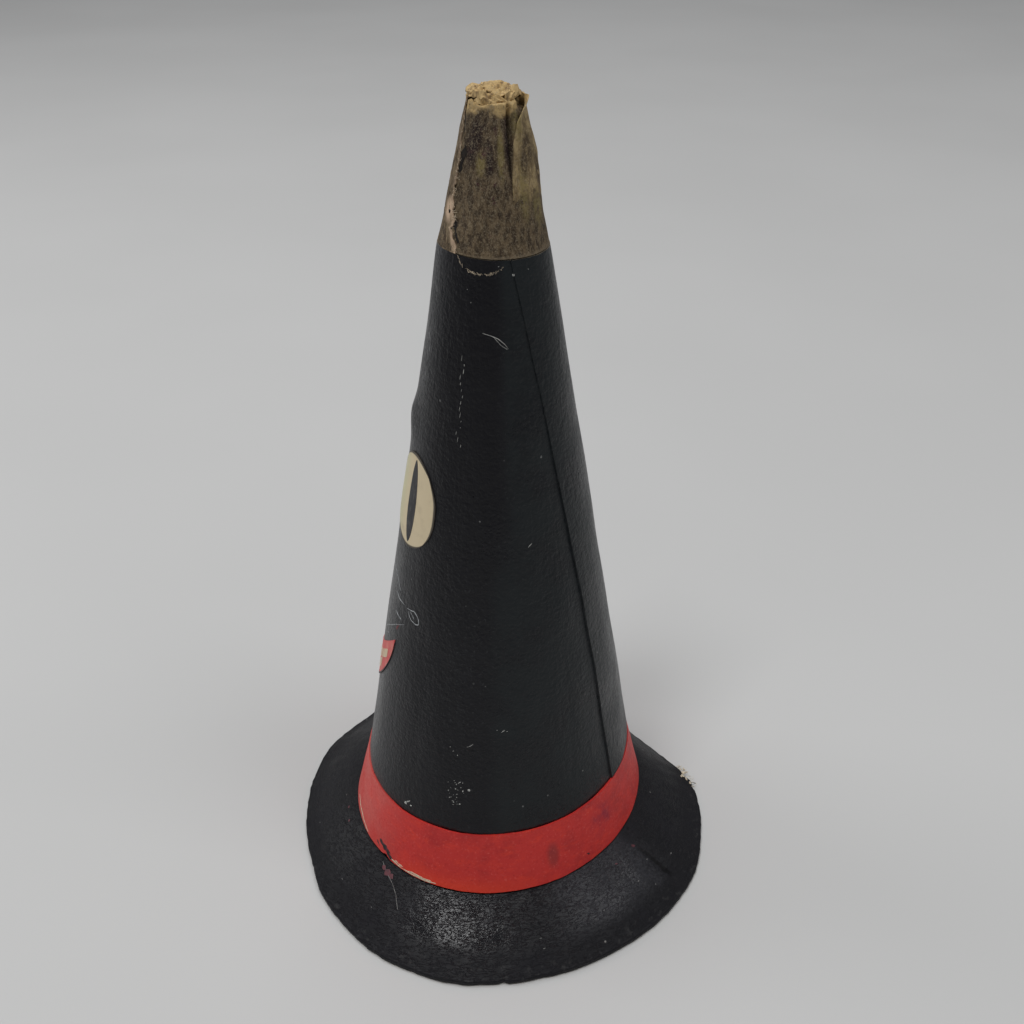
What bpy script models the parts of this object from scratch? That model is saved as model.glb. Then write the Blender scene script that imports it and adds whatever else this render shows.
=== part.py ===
"""Paper witch hat: a rolled black paper cone on a drooping paper brim, with a red paper band,
a crumpled kraft paper tip and a cat's face in cut paper.

Sizes are in metres and +Z is up. The hat stands on its rim, and the cone's axis is the Z axis.
Angles are turns round that axis in degrees, from the cat's face at -Y towards +X.
"""

import math

import bmesh
import bpy
from mathutils import Vector

MM = 0.001
GAP = 0.3 * MM

# Crown: one rolled sheet, so its outside is a spiral that steps down where the sheet ends
CONE_APEX_Z = 285.0 * MM
CONE_SLOPE = 0.1732
CROWN_FOOT_Z = 12.9 * MM
CROWN_TOP_Z = 203.2 * MM
CROWN_WALL = 2.2 * MM
CROWN_COLUMNS = 60
LAP_STEP = 0.6 * MM
LAP_EDGE_DEG = 0.6
SEAM_TURN_DEG = 180.6
SEAM_TWIST_DEG_M = 5.153
OVAL_TURN_DEG = 60.0
OVAL_FOOT = 1.8 * MM
OVAL_END_Z = 110.0 * MM
BLISTER_TURN_DEG = 15.0
BLISTER_Z = 157.0 * MM
BLISTER_RADIUS = 5.0 * MM
BLISTER_HEIGHT = 1.0 * MM

# Band: thin paper round the crown's foot
BAND_BOTTOM_Z = 13.9 * MM
BAND_TOP_Z = 34.2 * MM
BAND_FOOT_RADIUS = 48.7 * MM
BAND_FOOT_Z = 13.4 * MM
BAND_PROUD = 0.25 * MM
BAND_THICKNESS = 0.7 * MM

# Brim: a paper ring that droops to the floor, with one worn straight edge at the back
BRIM_COLUMNS = 84
BRIM_THICKNESS = 2.4 * MM
BRIM_SHELF_Z = 12.6 * MM
BRIM_ROOT_Z = 13.35 * MM
BRIM_EDGE_Z = 2.1 * MM
BRIM_DROOP_POWER = 1.15
BRIM_WAVE = 0.5 * MM
RIM_FLAT_WIDTH = 1.8 * MM
RIM_ROUND = 0.6 * MM
WORN_EDGE_TURN_DEG = 230.0
WORN_EDGE_DISTANCE = 59.0 * MM
CREASE_TURN_DEG = 158.0
CREASE_WIDTH_DEG = 4.0
CREASE_DEPTH = 0.9 * MM
CREASE_RADIUS = 58.0 * MM
CREASE_REACH = 8.0 * MM

# Brim outline: turn_deg, radius_mm
BRIM_OUTLINE = (
    (0, 68.5),
    (15, 68.0),
    (30, 68.0),
    (50, 70.2),
    (70, 71.9),
    (90, 72.4),
    (100, 71.4),
    (115, 70.5),
    (130, 70.3),
    (150, 71.3),
    (164, 71.9),
    (180, 70.7),
    (197, 69.7),
    (262, 69.8),
    (280, 71.0),
    (310, 68.5),
    (331, 66.2),
    (350, 68.8),
)

# Peak: kraft paper tip with a spigot inside the crown's open top
PEAK_SPIGOT_Z = 190.0 * MM
PEAK_SHOULDER_Z = 203.5 * MM
PEAK_WALL = 1.4 * MM
PEAK_COLUMNS = 48
PEAK_LEAN = 0.7 * MM
PEAK_LEAN_TURN_DEG = 190.0
PEAK_LIP_Z = 238.5 * MM

# Peak outline: z_mm, radius_mm
PEAK_OUTLINE = (
    (203.5, 13.6),
    (206.0, 13.3),
    (211.0, 12.4),
    (216.5, 11.4),
    (221.5, 10.4),
    (226.5, 9.3),
    (231.5, 8.2),
    (235.0, 7.4),
    (238.5, 6.6),
)

# Gathered top of the peak, outside and inside: radius_mm, z_mm
PEAK_GATHER = ((5.3, 240.9), (3.6, 242.4), (1.8, 241.6))
PEAK_GATHER_CENTRE_Z = 240.6 * MM
PEAK_GATHER_UNDER = ((1.6, 239.0), (3.6, 238.4), (4.8, 236.6))
PEAK_GATHER_UNDER_Z = 238.8 * MM

# Folds of the peak: turn_deg, width_deg, depth_mm at the lip (a ridge is negative), start_z_mm
PEAK_FOLDS = (
    (20, 9, 0.9, 214),
    (48, 6, -0.6, 206),
    (55, 5, 0.7, 206),
    (84, 10, 0.5, 218),
    (117, 7, 1.7, 208),
    (133, 10, -0.9, 206),
    (168, 9, 0.8, 216),
    (205, 8, 1.2, 212),
    (228, 8, -0.6, 214),
    (262, 9, 1.1, 213),
    (300, 8, 0.7, 217),
    (330, 9, 1.0, 214),
)

# Cat's face in cut paper on the front of the cone
FACE_PAPER = 0.5 * MM
EYE_TURN_DEG = 35.5
EYE_Z = 134.0 * MM
EYE_HALF_WIDTH = 11.8 * MM
EYE_HALF_HEIGHT = 14.0 * MM
EYE_POINTS = 28
PUPIL_TURN_DEG = 37.8
PUPIL_HALF_WIDTH = 2.3 * MM
PUPIL_HALF_HEIGHT = 12.6 * MM
PUPIL_POINTEDNESS = 1.25
MOUTH_CORNER_DEG = 37.4
MOUTH_CORNER_Z = 86.5 * MM
MOUTH_TOP_Z = 74.0 * MM
MOUTH_TOP_RISE = 14.3 * MM
MOUTH_TOP_POWER = 1.3
MOUTH_DEPTH = 26.0 * MM
MOUTH_BOTTOM_POWERS = (1.6, 0.6)
MOUTH_SIDE_POINTS = 16
TEETH_CORNER_DEG = 32.5
TEETH_TOP_INSET = 3.2 * MM
TEETH_BOTTOM_INSET = 3.4 * MM

# Materials: base colour, roughness
MATERIALS = {
    "black_paper": ((0.012, 0.013, 0.015, 1.0), 0.38),
    "red_paper": ((0.52, 0.035, 0.03, 1.0), 0.55),
    "kraft_paper": ((0.26, 0.17, 0.09, 1.0), 0.85),
    "cream_paper": ((0.78, 0.66, 0.46, 1.0), 0.6),
    "dark_paper": ((0.03, 0.03, 0.032, 1.0), 0.5),
}


def smooth(low, high, value):
    """Rise from 0 at low to 1 at high, level at both ends."""
    share = min(1.0, max(0.0, (value - low) / (high - low)))
    return share * share * (3.0 - 2.0 * share)


def bump(distance, width):
    """Bell shape of height 1."""
    return math.exp(-((distance / width) ** 2))


def turn_between(turn, centre):
    """Signed angle from centre to turn, from -180 to 180 degrees."""
    return (turn - centre + 180.0) % 360.0 - 180.0


def point(radius, turn, z):
    """Point at a radius from the axis, a turn in degrees and a height."""
    angle = math.radians(turn)
    return Vector((radius * math.sin(angle), -radius * math.cos(angle), z))


def table_value(table, key, period=None):
    """Smooth value of a two-column table at key; with a period the table runs round."""
    rows = list(table)
    if period:
        key = key % period
        rows = [(rows[-1][0] - period, rows[-1][1])] + rows + [(rows[0][0] + period, rows[0][1])]
    for (low, start), (high, end) in zip(rows, rows[1:]):
        if low <= key <= high:
            return start + (end - start) * smooth(low, high, key)
    return rows[0][1] if key < rows[0][0] else rows[-1][1]


def line_value(table, key):
    """Straight-line value of a two-column table at key."""
    for (low, start), (high, end) in zip(table, table[1:]):
        if low <= key <= high:
            return start + (end - start) * (key - low) / (high - low)
    return table[0][1] if key < table[0][0] else table[-1][1]


def cone_radius(z):
    """Radius of the finished outside: a straight cone that flares a little under the band."""
    if z >= BAND_TOP_Z:
        return CONE_SLOPE * (CONE_APEX_Z - z)
    top = CONE_SLOPE * (CONE_APEX_Z - BAND_TOP_Z)
    share = (BAND_TOP_Z - z) / (BAND_TOP_Z - BAND_FOOT_Z)
    return top + (BAND_FOOT_RADIUS - top) * share


def oval(z, turn):
    """How far the slightly oval foot stands out from a true circle."""
    amount = OVAL_FOOT * (1.0 - smooth(CROWN_FOOT_Z, OVAL_END_Z, z))
    return amount * math.cos(math.radians(2.0 * (turn - OVAL_TURN_DEG)))


def seam_turn(z):
    """Turn at which the rolled sheet's edge lies."""
    return SEAM_TURN_DEG - SEAM_TWIST_DEG_M / (CONE_APEX_Z - z)


def lap(z, turn):
    """Offset of the spiral: highest just after the seam, lowest just before it."""
    return LAP_STEP * (0.5 - ((turn - seam_turn(z)) % 360.0) / 360.0)


def crown_outside(z, turn):
    """Radius of the crown above the band, with its lap and its blister."""
    radius = cone_radius(z) + oval(z, turn) + lap(z, turn)
    across = math.radians(turn_between(turn, BLISTER_TURN_DEG)) * cone_radius(z)
    distance = math.hypot(across, z - BLISTER_Z)
    return radius + BLISTER_HEIGHT * bump(distance, BLISTER_RADIUS)


def crown_under_band(z, turn):
    """Radius of the crown where the band lies on it."""
    return cone_radius(z) + oval(z, turn) + BAND_PROUD - BAND_THICKNESS - GAP


def crown_inside(z, turn):
    """Radius of the hollow of the crown."""
    return cone_radius(z) + oval(z, turn) - CROWN_WALL


def seam_columns(z):
    """Turns of the columns of a rolled piece: they start and end at its seam."""
    start = seam_turn(z)
    step = 360.0 / CROWN_COLUMNS
    turns = [start + k * step for k in range(CROWN_COLUMNS)]
    return turns + [start + 360.0 - LAP_EDGE_DEG]


def material(name):
    """Principled material of one paper."""
    colour, roughness = MATERIALS[name]
    made = bpy.data.materials.new(name)
    made.use_nodes = True
    shader = made.node_tree.nodes["Principled BSDF"]
    shader.inputs["Base Color"].default_value = colour
    shader.inputs["Roughness"].default_value = roughness
    made.diffuse_color = colour
    return made


def loft(name, paper, rows, start=None, end=None):
    """Closed solid through rows of points that run round: the last row joins the first,
    or else start and end are the points that close the two ends."""
    bm = bmesh.new()
    loops = [[bm.verts.new(p) for p in row] for row in rows]
    count = len(loops[0])
    pairs = list(zip(loops, loops[1:]))
    if start is None:
        pairs.append((loops[-1], loops[0]))
    for low, high in pairs:
        for k in range(count):
            after = (k + 1) % count
            bm.faces.new((low[k], low[after], high[after], high[k]))
    if start is not None:
        first, last = bm.verts.new(start), bm.verts.new(end)
        for k in range(count):
            after = (k + 1) % count
            bm.faces.new((first, loops[0][after], loops[0][k]))
            bm.faces.new((last, loops[-1][k], loops[-1][after]))
    bmesh.ops.recalc_face_normals(bm, faces=bm.faces)
    mesh = bpy.data.meshes.new(name)
    bm.to_mesh(mesh)
    bm.free()
    mesh.shade_smooth()
    mesh.set_sharp_from_angle(angle=math.radians(35.0))
    mesh.materials.append(material(paper))
    made = bpy.data.objects.new(name, mesh)
    bpy.context.scene.collection.objects.link(made)
    return made


def rolled_row(radius_at, z):
    """One row of a rolled piece at height z."""
    return [point(radius_at(z, turn), turn, z) for turn in seam_columns(z)]


def build_crown():
    """Hollow cone with a recess for the band and an open top."""
    recess_z = BAND_TOP_Z + GAP
    blister_rows = [BLISTER_Z + step * BLISTER_RADIUS for step in (-1.6, -0.8, 0.0, 0.8, 1.6)]
    outer_z = [52 * MM, 74 * MM, 96 * MM, 118 * MM, 136 * MM] + blister_rows
    outer_z += [178 * MM, 192 * MM, CROWN_TOP_Z]
    inner_z = [CROWN_TOP_Z, 196 * MM, 187 * MM, 172 * MM, 150 * MM, 110 * MM, 60 * MM]
    inner_z += [BAND_TOP_Z, CROWN_FOOT_Z]
    rows = [rolled_row(crown_under_band, z) for z in (CROWN_FOOT_Z, 24 * MM, recess_z)]
    rows += [rolled_row(crown_outside, recess_z + 0.2 * MM)]
    rows += [rolled_row(crown_outside, z) for z in outer_z]
    rows += [rolled_row(crown_inside, z) for z in inner_z]
    return loft("crown", "black_paper", rows)


def build_band():
    """Thin paper ring in the recess at the crown's foot."""

    def outside(z, turn):
        return cone_radius(z) + oval(z, turn) + BAND_PROUD

    def inside(z, turn):
        return outside(z, turn) - BAND_THICKNESS

    heights = (BAND_BOTTOM_Z, 24 * MM, BAND_TOP_Z)
    rows = [rolled_row(outside, z) for z in heights]
    rows += [rolled_row(inside, z) for z in reversed(heights)]
    return loft("band", "red_paper", rows)


def brim_outline(turn):
    """Plan radius of the rim: the uneven round, cut straight where it is worn."""
    radius = table_value(BRIM_OUTLINE, turn, period=360.0) * MM
    away = turn_between(turn, WORN_EDGE_TURN_DEG)
    if abs(away) < 60.0:
        radius = min(radius, WORN_EDGE_DISTANCE / math.cos(math.radians(away)))
    return radius


def brim_top(share, radius, turn):
    """Height of the brim's upper face, from its root at share 0 to its rim at share 1."""
    z = BRIM_ROOT_Z + (BRIM_EDGE_Z - BRIM_ROOT_Z) * share**BRIM_DROOP_POWER
    free = 4.0 * share * (1.0 - share)
    z += BRIM_WAVE * free * math.sin(math.radians(3.0 * turn + 40.0))
    fold = turn_between(turn, CREASE_TURN_DEG)
    valley = bump(fold, CREASE_WIDTH_DEG) - 0.6 * bump(fold + 2.0 * CREASE_WIDTH_DEG, CREASE_WIDTH_DEG)
    return z - CREASE_DEPTH * valley * bump(radius - CREASE_RADIUS, CREASE_REACH)


def build_brim():
    """Drooping ring: a shelf under the crown's foot, the upper face, the rim and the underside."""
    turns = [k * 360.0 / BRIM_COLUMNS for k in range(BRIM_COLUMNS)]

    def root(turn):
        return BAND_FOOT_RADIUS + oval(CROWN_FOOT_Z, turn)

    def row(place):
        return [point(*place(turn)) for turn in turns]

    def face(share, drop):
        def place(turn):
            start, end = root(turn), brim_outline(turn) - RIM_ROUND
            radius = start + share * (end - start)
            return radius, turn, brim_top(share, radius, turn) - drop

        return place

    hole = -CROWN_WALL
    step_out = -BAND_THICKNESS + GAP
    rows = [
        row(lambda t: (root(t) + hole, t, BRIM_SHELF_Z - BRIM_THICKNESS)),
        row(lambda t: (root(t) + hole, t, BRIM_SHELF_Z)),
        row(lambda t: (root(t) + step_out, t, BRIM_SHELF_Z)),
        row(lambda t: (root(t) + step_out + 0.1 * MM, t, BRIM_ROOT_Z)),
    ]
    rows += [row(face(share, 0.0)) for share in (0.08, 0.22, 0.4, 0.6, 0.8, 1.0)]
    rows += [
        row(lambda t: (brim_outline(t), t, BRIM_EDGE_Z - RIM_ROUND)),
        row(lambda t: (brim_outline(t), t, RIM_ROUND)),
        row(lambda t: (brim_outline(t) - RIM_ROUND, t, 0.0)),
        row(lambda t: (brim_outline(t) - RIM_ROUND - RIM_FLAT_WIDTH, t, 0.0)),
    ]
    rows += [row(face(share, BRIM_THICKNESS)) for share in (0.72, 0.4, 0.1)]
    return loft("brim", "black_paper", rows)


def peak_folds(z, turn):
    """How far the folds and ridges move the kraft paper in, at a height and a turn."""
    moved = 0.0
    for fold_turn, width, depth, start in PEAK_FOLDS:
        growth = smooth(start * MM, PEAK_LIP_Z, z)
        early = 0.35 * smooth(start * MM, (start + 6.0) * MM, z)
        moved += depth * MM * (0.65 * growth + early) * bump(turn_between(turn, fold_turn), width)
    return moved


def peak_point(radius, turn, z):
    """Point of the peak, which leans a little."""
    reach = max(0.0, z - PEAK_SHOULDER_Z) / (PEAK_LIP_Z - PEAK_SHOULDER_Z)
    return point(radius, turn, z) + point(PEAK_LEAN * reach, PEAK_LEAN_TURN_DEG, 0.0)


def build_peak():
    """Hollow kraft tip: spigot, shoulder on the crown's top edge, folded wall and gathered top."""
    turns = [k * 360.0 / PEAK_COLUMNS for k in range(PEAK_COLUMNS)]

    def wall_row(z, inset):
        radius = line_value(PEAK_OUTLINE, z / MM) * MM - inset
        return [peak_point(radius - peak_folds(z, turn), turn, z) for turn in turns]

    def spigot_row(z, inset):
        radius = cone_radius(z) - CROWN_WALL - GAP - inset
        return [point(radius, turn, z) for turn in turns]

    def gather_row(radius, z, pleat):
        row = []
        for turn in turns:
            fold = peak_folds(PEAK_LIP_Z, turn) * pleat
            row.append(peak_point(radius * MM - fold, turn, z * MM - 0.8 * fold))
        return row

    spigot_top_z = CROWN_TOP_Z - 0.1 * MM
    outer_z = [PEAK_SHOULDER_Z, 206 * MM, 210 * MM, 214 * MM, 218 * MM, 222 * MM, 226 * MM]
    outer_z += [230 * MM, 234 * MM, PEAK_LIP_Z]
    rows = [gather_row(radius, z, 0.5 * radius / 6.0) for radius, z in reversed(PEAK_GATHER)]
    rows += [wall_row(z, 0.0) for z in reversed(outer_z)]
    shoulder_inside = cone_radius(CROWN_TOP_Z) - CROWN_WALL - GAP
    rows.append([point(shoulder_inside, turn, PEAK_SHOULDER_Z) for turn in turns])
    rows += [spigot_row(z, 0.0) for z in (spigot_top_z, PEAK_SPIGOT_Z)]
    rows += [spigot_row(z, PEAK_WALL) for z in (PEAK_SPIGOT_Z, 200 * MM)]
    rows += [wall_row(z, PEAK_WALL) for z in (214 * MM, 224 * MM, 232 * MM)]
    rows += [gather_row(radius, z, 0.5 * radius / 6.0) for radius, z in reversed(PEAK_GATHER_UNDER)]
    start = peak_point(0.0, 0.0, PEAK_GATHER_CENTRE_Z)
    end = peak_point(0.0, 0.0, PEAK_GATHER_UNDER_Z)
    return loft("peak", "kraft_paper", rows, start, end)


def face_point(turn, z, height):
    """Point over the crown's paper at a turn, a height and a distance off the paper."""
    return point(crown_outside(z, turn) + height, turn, z)


def face_plate(name, paper, outline, hole=None, rings=3):
    """Thin sheet that follows the cone, inside an outline of (turn, z) pairs, round a hole if one is given."""
    centre_turn = sum(turn for turn, _ in outline) / len(outline)
    centre_z = sum(z for _, z in outline) / len(outline)
    inner = hole or [(centre_turn, centre_z)] * len(outline)
    last = rings if hole else rings - 1

    def loop(ring, height):
        share = ring / rings
        row = []
        for (turn, z), (inner_turn, inner_z) in zip(outline, inner):
            row.append(
                face_point(turn + (inner_turn - turn) * share, z + (inner_z - z) * share, height)
            )
        return row

    top = GAP + FACE_PAPER
    front = [loop(ring, top) for ring in range(last, -1, -1)]
    back = [loop(ring, GAP) for ring in range(last + 1)]
    if hole:
        return loft(name, paper, front + back)
    start = face_point(centre_turn, centre_z, top)
    end = face_point(centre_turn, centre_z, GAP)
    return loft(name, paper, front + back, start, end)


def oval_outline(side, turn, half_width, half_height, pointedness=1.0, grow=0.0):
    """Upright oval of (turn, z) pairs on one side of the face; grow widens it all round."""
    outline = []
    for k in range(EYE_POINTS):
        angle = 2.0 * math.pi * k / EYE_POINTS
        across = math.copysign(abs(math.cos(angle)) ** pointedness, math.cos(angle))
        z = EYE_Z + (half_height + grow) * math.sin(angle)
        degrees = turn + math.degrees((half_width + grow) * across / cone_radius(z))
        outline.append((side * degrees, z))
    return outline


def build_eye(side, label):
    """One cream eye with a slit for its pupil, and the pupil in the slit."""
    eye = oval_outline(side, EYE_TURN_DEG, EYE_HALF_WIDTH, EYE_HALF_HEIGHT)
    pupil = (side, PUPIL_TURN_DEG, PUPIL_HALF_WIDTH, PUPIL_HALF_HEIGHT, PUPIL_POINTEDNESS)
    face_plate("eye_" + label, "cream_paper", eye, oval_outline(*pupil, grow=GAP * 1.5), rings=3)
    face_plate("pupil_" + label, "dark_paper", oval_outline(*pupil), rings=2)


def mouth_top(turn):
    """Height of the mouth's upper edge."""
    return MOUTH_TOP_Z + MOUTH_TOP_RISE * abs(turn / MOUTH_CORNER_DEG) ** MOUTH_TOP_POWER


def mouth_bottom(turn):
    """Height of the mouth's lower edge."""
    across, round_off = MOUTH_BOTTOM_POWERS
    inside = max(0.0, 1.0 - abs(turn / MOUTH_CORNER_DEG) ** across)
    return MOUTH_CORNER_Z - MOUTH_DEPTH * inside**round_off


def smile_outline(corner, top_inset, bottom_inset):
    """Closed run of (turn, z) pairs along the upper edge and back along the lower edge."""
    shares = [math.cos(math.pi * k / MOUTH_SIDE_POINTS) for k in range(MOUTH_SIDE_POINTS + 1)]
    upper = [(corner * s, mouth_top(corner * s) - top_inset) for s in shares]
    lower = [(-corner * s, mouth_bottom(corner * s) + bottom_inset) for s in shares]
    return upper + lower


def build_mouth():
    """Red smile with a slot for the row of teeth."""
    slot_corner = TEETH_CORNER_DEG + math.degrees(GAP / cone_radius(MOUTH_TOP_Z))
    slot = smile_outline(slot_corner, TEETH_TOP_INSET - GAP, TEETH_BOTTOM_INSET - GAP)
    face_plate("mouth", "red_paper", smile_outline(MOUTH_CORNER_DEG, 0.0, 0.0), slot, rings=2)


def build_teeth():
    """Cream strip in the mouth's slot: upright sections from one corner to the other."""
    top = GAP + FACE_PAPER
    rows = []
    for k in range(MOUTH_SIDE_POINTS + 1):
        turn = TEETH_CORNER_DEG * math.cos(math.pi * k / MOUTH_SIDE_POINTS)
        high = mouth_top(turn) - TEETH_TOP_INSET
        low = mouth_bottom(turn) + TEETH_BOTTOM_INSET
        heights = (high, (high + low) / 2.0, low)
        front = [face_point(turn, z, top) for z in heights]
        back = [face_point(turn, z, GAP) for z in reversed(heights)]
        rows.append(front + back)
    ends = [sum(row, Vector()) / len(row) for row in (rows[0], rows[-1])]
    return loft("teeth", "cream_paper", rows, *ends)


def main():
    """Clear the scene and build every piece."""
    for old in list(bpy.data.objects):
        bpy.data.objects.remove(old)
    build_crown()
    build_brim()
    build_band()
    build_peak()
    build_eye(1, "left")
    build_eye(-1, "right")
    build_mouth()
    build_teeth()


main()
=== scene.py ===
"""Paper witch hat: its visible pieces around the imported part, with a plain studio and the camera.

Lengths are in metres and +Z is up. The hat stands on its rim and the cone's axis is the Z axis.
A turn is an angle round that axis in degrees, from the middle of the cat's face (-Y) towards +X.
"""

import logging
import math
from dataclasses import dataclass
from enum import Enum
from typing import Callable, Sequence

import bmesh
import bpy
import numpy as np
from mathutils import Matrix, Vector, noise


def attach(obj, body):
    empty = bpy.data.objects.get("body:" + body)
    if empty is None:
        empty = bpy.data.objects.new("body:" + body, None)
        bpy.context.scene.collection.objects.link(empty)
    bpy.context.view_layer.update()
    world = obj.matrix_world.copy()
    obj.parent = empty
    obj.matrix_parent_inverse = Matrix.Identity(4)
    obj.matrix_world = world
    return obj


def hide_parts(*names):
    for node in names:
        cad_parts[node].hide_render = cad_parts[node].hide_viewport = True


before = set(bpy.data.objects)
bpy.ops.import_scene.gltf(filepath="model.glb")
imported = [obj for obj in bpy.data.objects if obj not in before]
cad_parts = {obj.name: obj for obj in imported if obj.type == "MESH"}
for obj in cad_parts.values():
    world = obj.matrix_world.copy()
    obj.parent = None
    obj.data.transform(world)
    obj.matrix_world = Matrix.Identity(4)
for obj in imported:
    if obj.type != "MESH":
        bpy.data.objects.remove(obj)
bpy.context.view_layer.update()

LOG = logging.getLogger("paper_witch_hat")

Array = np.ndarray
Piece = bpy.types.Object
Material = bpy.types.Material
Socket = bpy.types.NodeSocket
Colour = tuple[float, float, float]
Place = tuple[float, float, float]
Lay = Callable[[Array, Array, Array], Array]
SheetLay = Callable[[Array, Array], Array]
Pairs = Sequence[tuple[float, float]]
Triples = Sequence[tuple[float, float, float]]
Quads = Sequence[tuple[float, float, float, float]]
Rows = Sequence[tuple[float, ...]]
Strokes = Sequence[tuple[float, Pairs]]

MM = 0.001
BODY = "root"


class Slot(Enum):
    """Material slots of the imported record."""

    BLACK = "black_paper"
    RED = "red_paper"
    KRAFT = "kraft_paper"
    CREAM = "cream_paper"
    DARK = "dark_paper"


class Side(Enum):
    """Sides of the cat's face, as the sign of their turns."""

    LEFT = 1
    RIGHT = -1


# Number helpers


def smooth(low: float, high: float, value: Array) -> Array:
    """Rise from 0 at low to 1 at high, level at both ends.

    Args:
        low: Where the rise starts.
        high: Where the rise ends.
        value: Values to look up.

    Returns:
        The share of the rise at each value.
    """
    share = np.clip((np.asarray(value, float) - low) / (high - low), 0.0, 1.0)
    return share * share * (3.0 - 2.0 * share)


def bell(distance: Array, width: float) -> Array:
    """Bell shape of height 1."""
    return np.exp(-((np.asarray(distance, float) / width) ** 2))


def turn_between(turn: Array, centre: Array) -> Array:
    """Signed angle from centre to turn, from -180 to 180 degrees."""
    return (turn - centre + 180.0) % 360.0 - 180.0


def place(radius: Array, turn: Array, z: Array) -> Array:
    """Points at radii from the axis, turns in degrees and heights.

    Args:
        radius: Distances from the axis.
        turn: Turns in degrees.
        z: Heights.

    Returns:
        An array of points, one row each.
    """
    radius, turn, z = np.broadcast_arrays(radius, turn, z)
    angle = np.radians(turn)
    return np.stack((radius * np.sin(angle), -radius * np.cos(angle), z), axis=-1)


def rounded_table(table: Pairs, key: Array, period: float) -> Array:
    """Smooth value of a two-column table that runs round.

    Args:
        table: Rows of key and value, in order.
        key: Keys to look up.
        period: Length after which the table repeats.

    Returns:
        The value at each key.
    """
    rows = list(table)
    rows = [(rows[-1][0] - period, rows[-1][1])] + rows + [(rows[0][0] + period, rows[0][1])]
    key = np.asarray(key, float) % period
    value = np.zeros_like(key)
    for (low, start), (high, end) in zip(rows, rows[1:]):
        inside = (key >= low) & (key <= high)
        value = np.where(inside, start + (end - start) * smooth(low, high, key), value)
    return value


def line_table(table: Rows, key: Array, column: int = 1) -> Array:
    """Straight-line value of one column of a table at each key of its first column."""
    return np.interp(key, [row[0] for row in table], [row[column] for row in table])


def turns_of(points: Array) -> Array:
    """Turn of each point round the axis, from 0 to 360 degrees."""
    return np.degrees(np.arctan2(points[:, 0], -points[:, 1])) % 360.0


def column_of(points: Array, columns: int) -> Array:
    """Number of the upright edge that each point of a tube lies on."""
    return np.round(turns_of(points) / (360.0 / columns)) % columns


def along_z(z: Array) -> Array:
    """Points on the axis at heights, for unevenness that varies with height alone."""
    return np.stack((0.0 * z, 0.0 * z, z), axis=-1)


def lumps(points: Array, size: float, seed: float) -> Array:
    """Smooth noise from about -1 to 1.

    Args:
        points: Points, one row each.
        size: Width of one lump.
        seed: Number that picks the pattern.

    Returns:
        One value a point.
    """
    shift = Vector((3.1 * seed, 5.7 * seed, 7.3 * seed))
    rows = np.asarray(points, float).reshape(-1, 3) / size
    values = np.array([noise.noise(Vector(row) + shift) for row in rows])
    return 1.6 * values.reshape(np.shape(points)[:-1])


# The hat's shape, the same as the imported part's, with the paper's fine unevenness added


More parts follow.
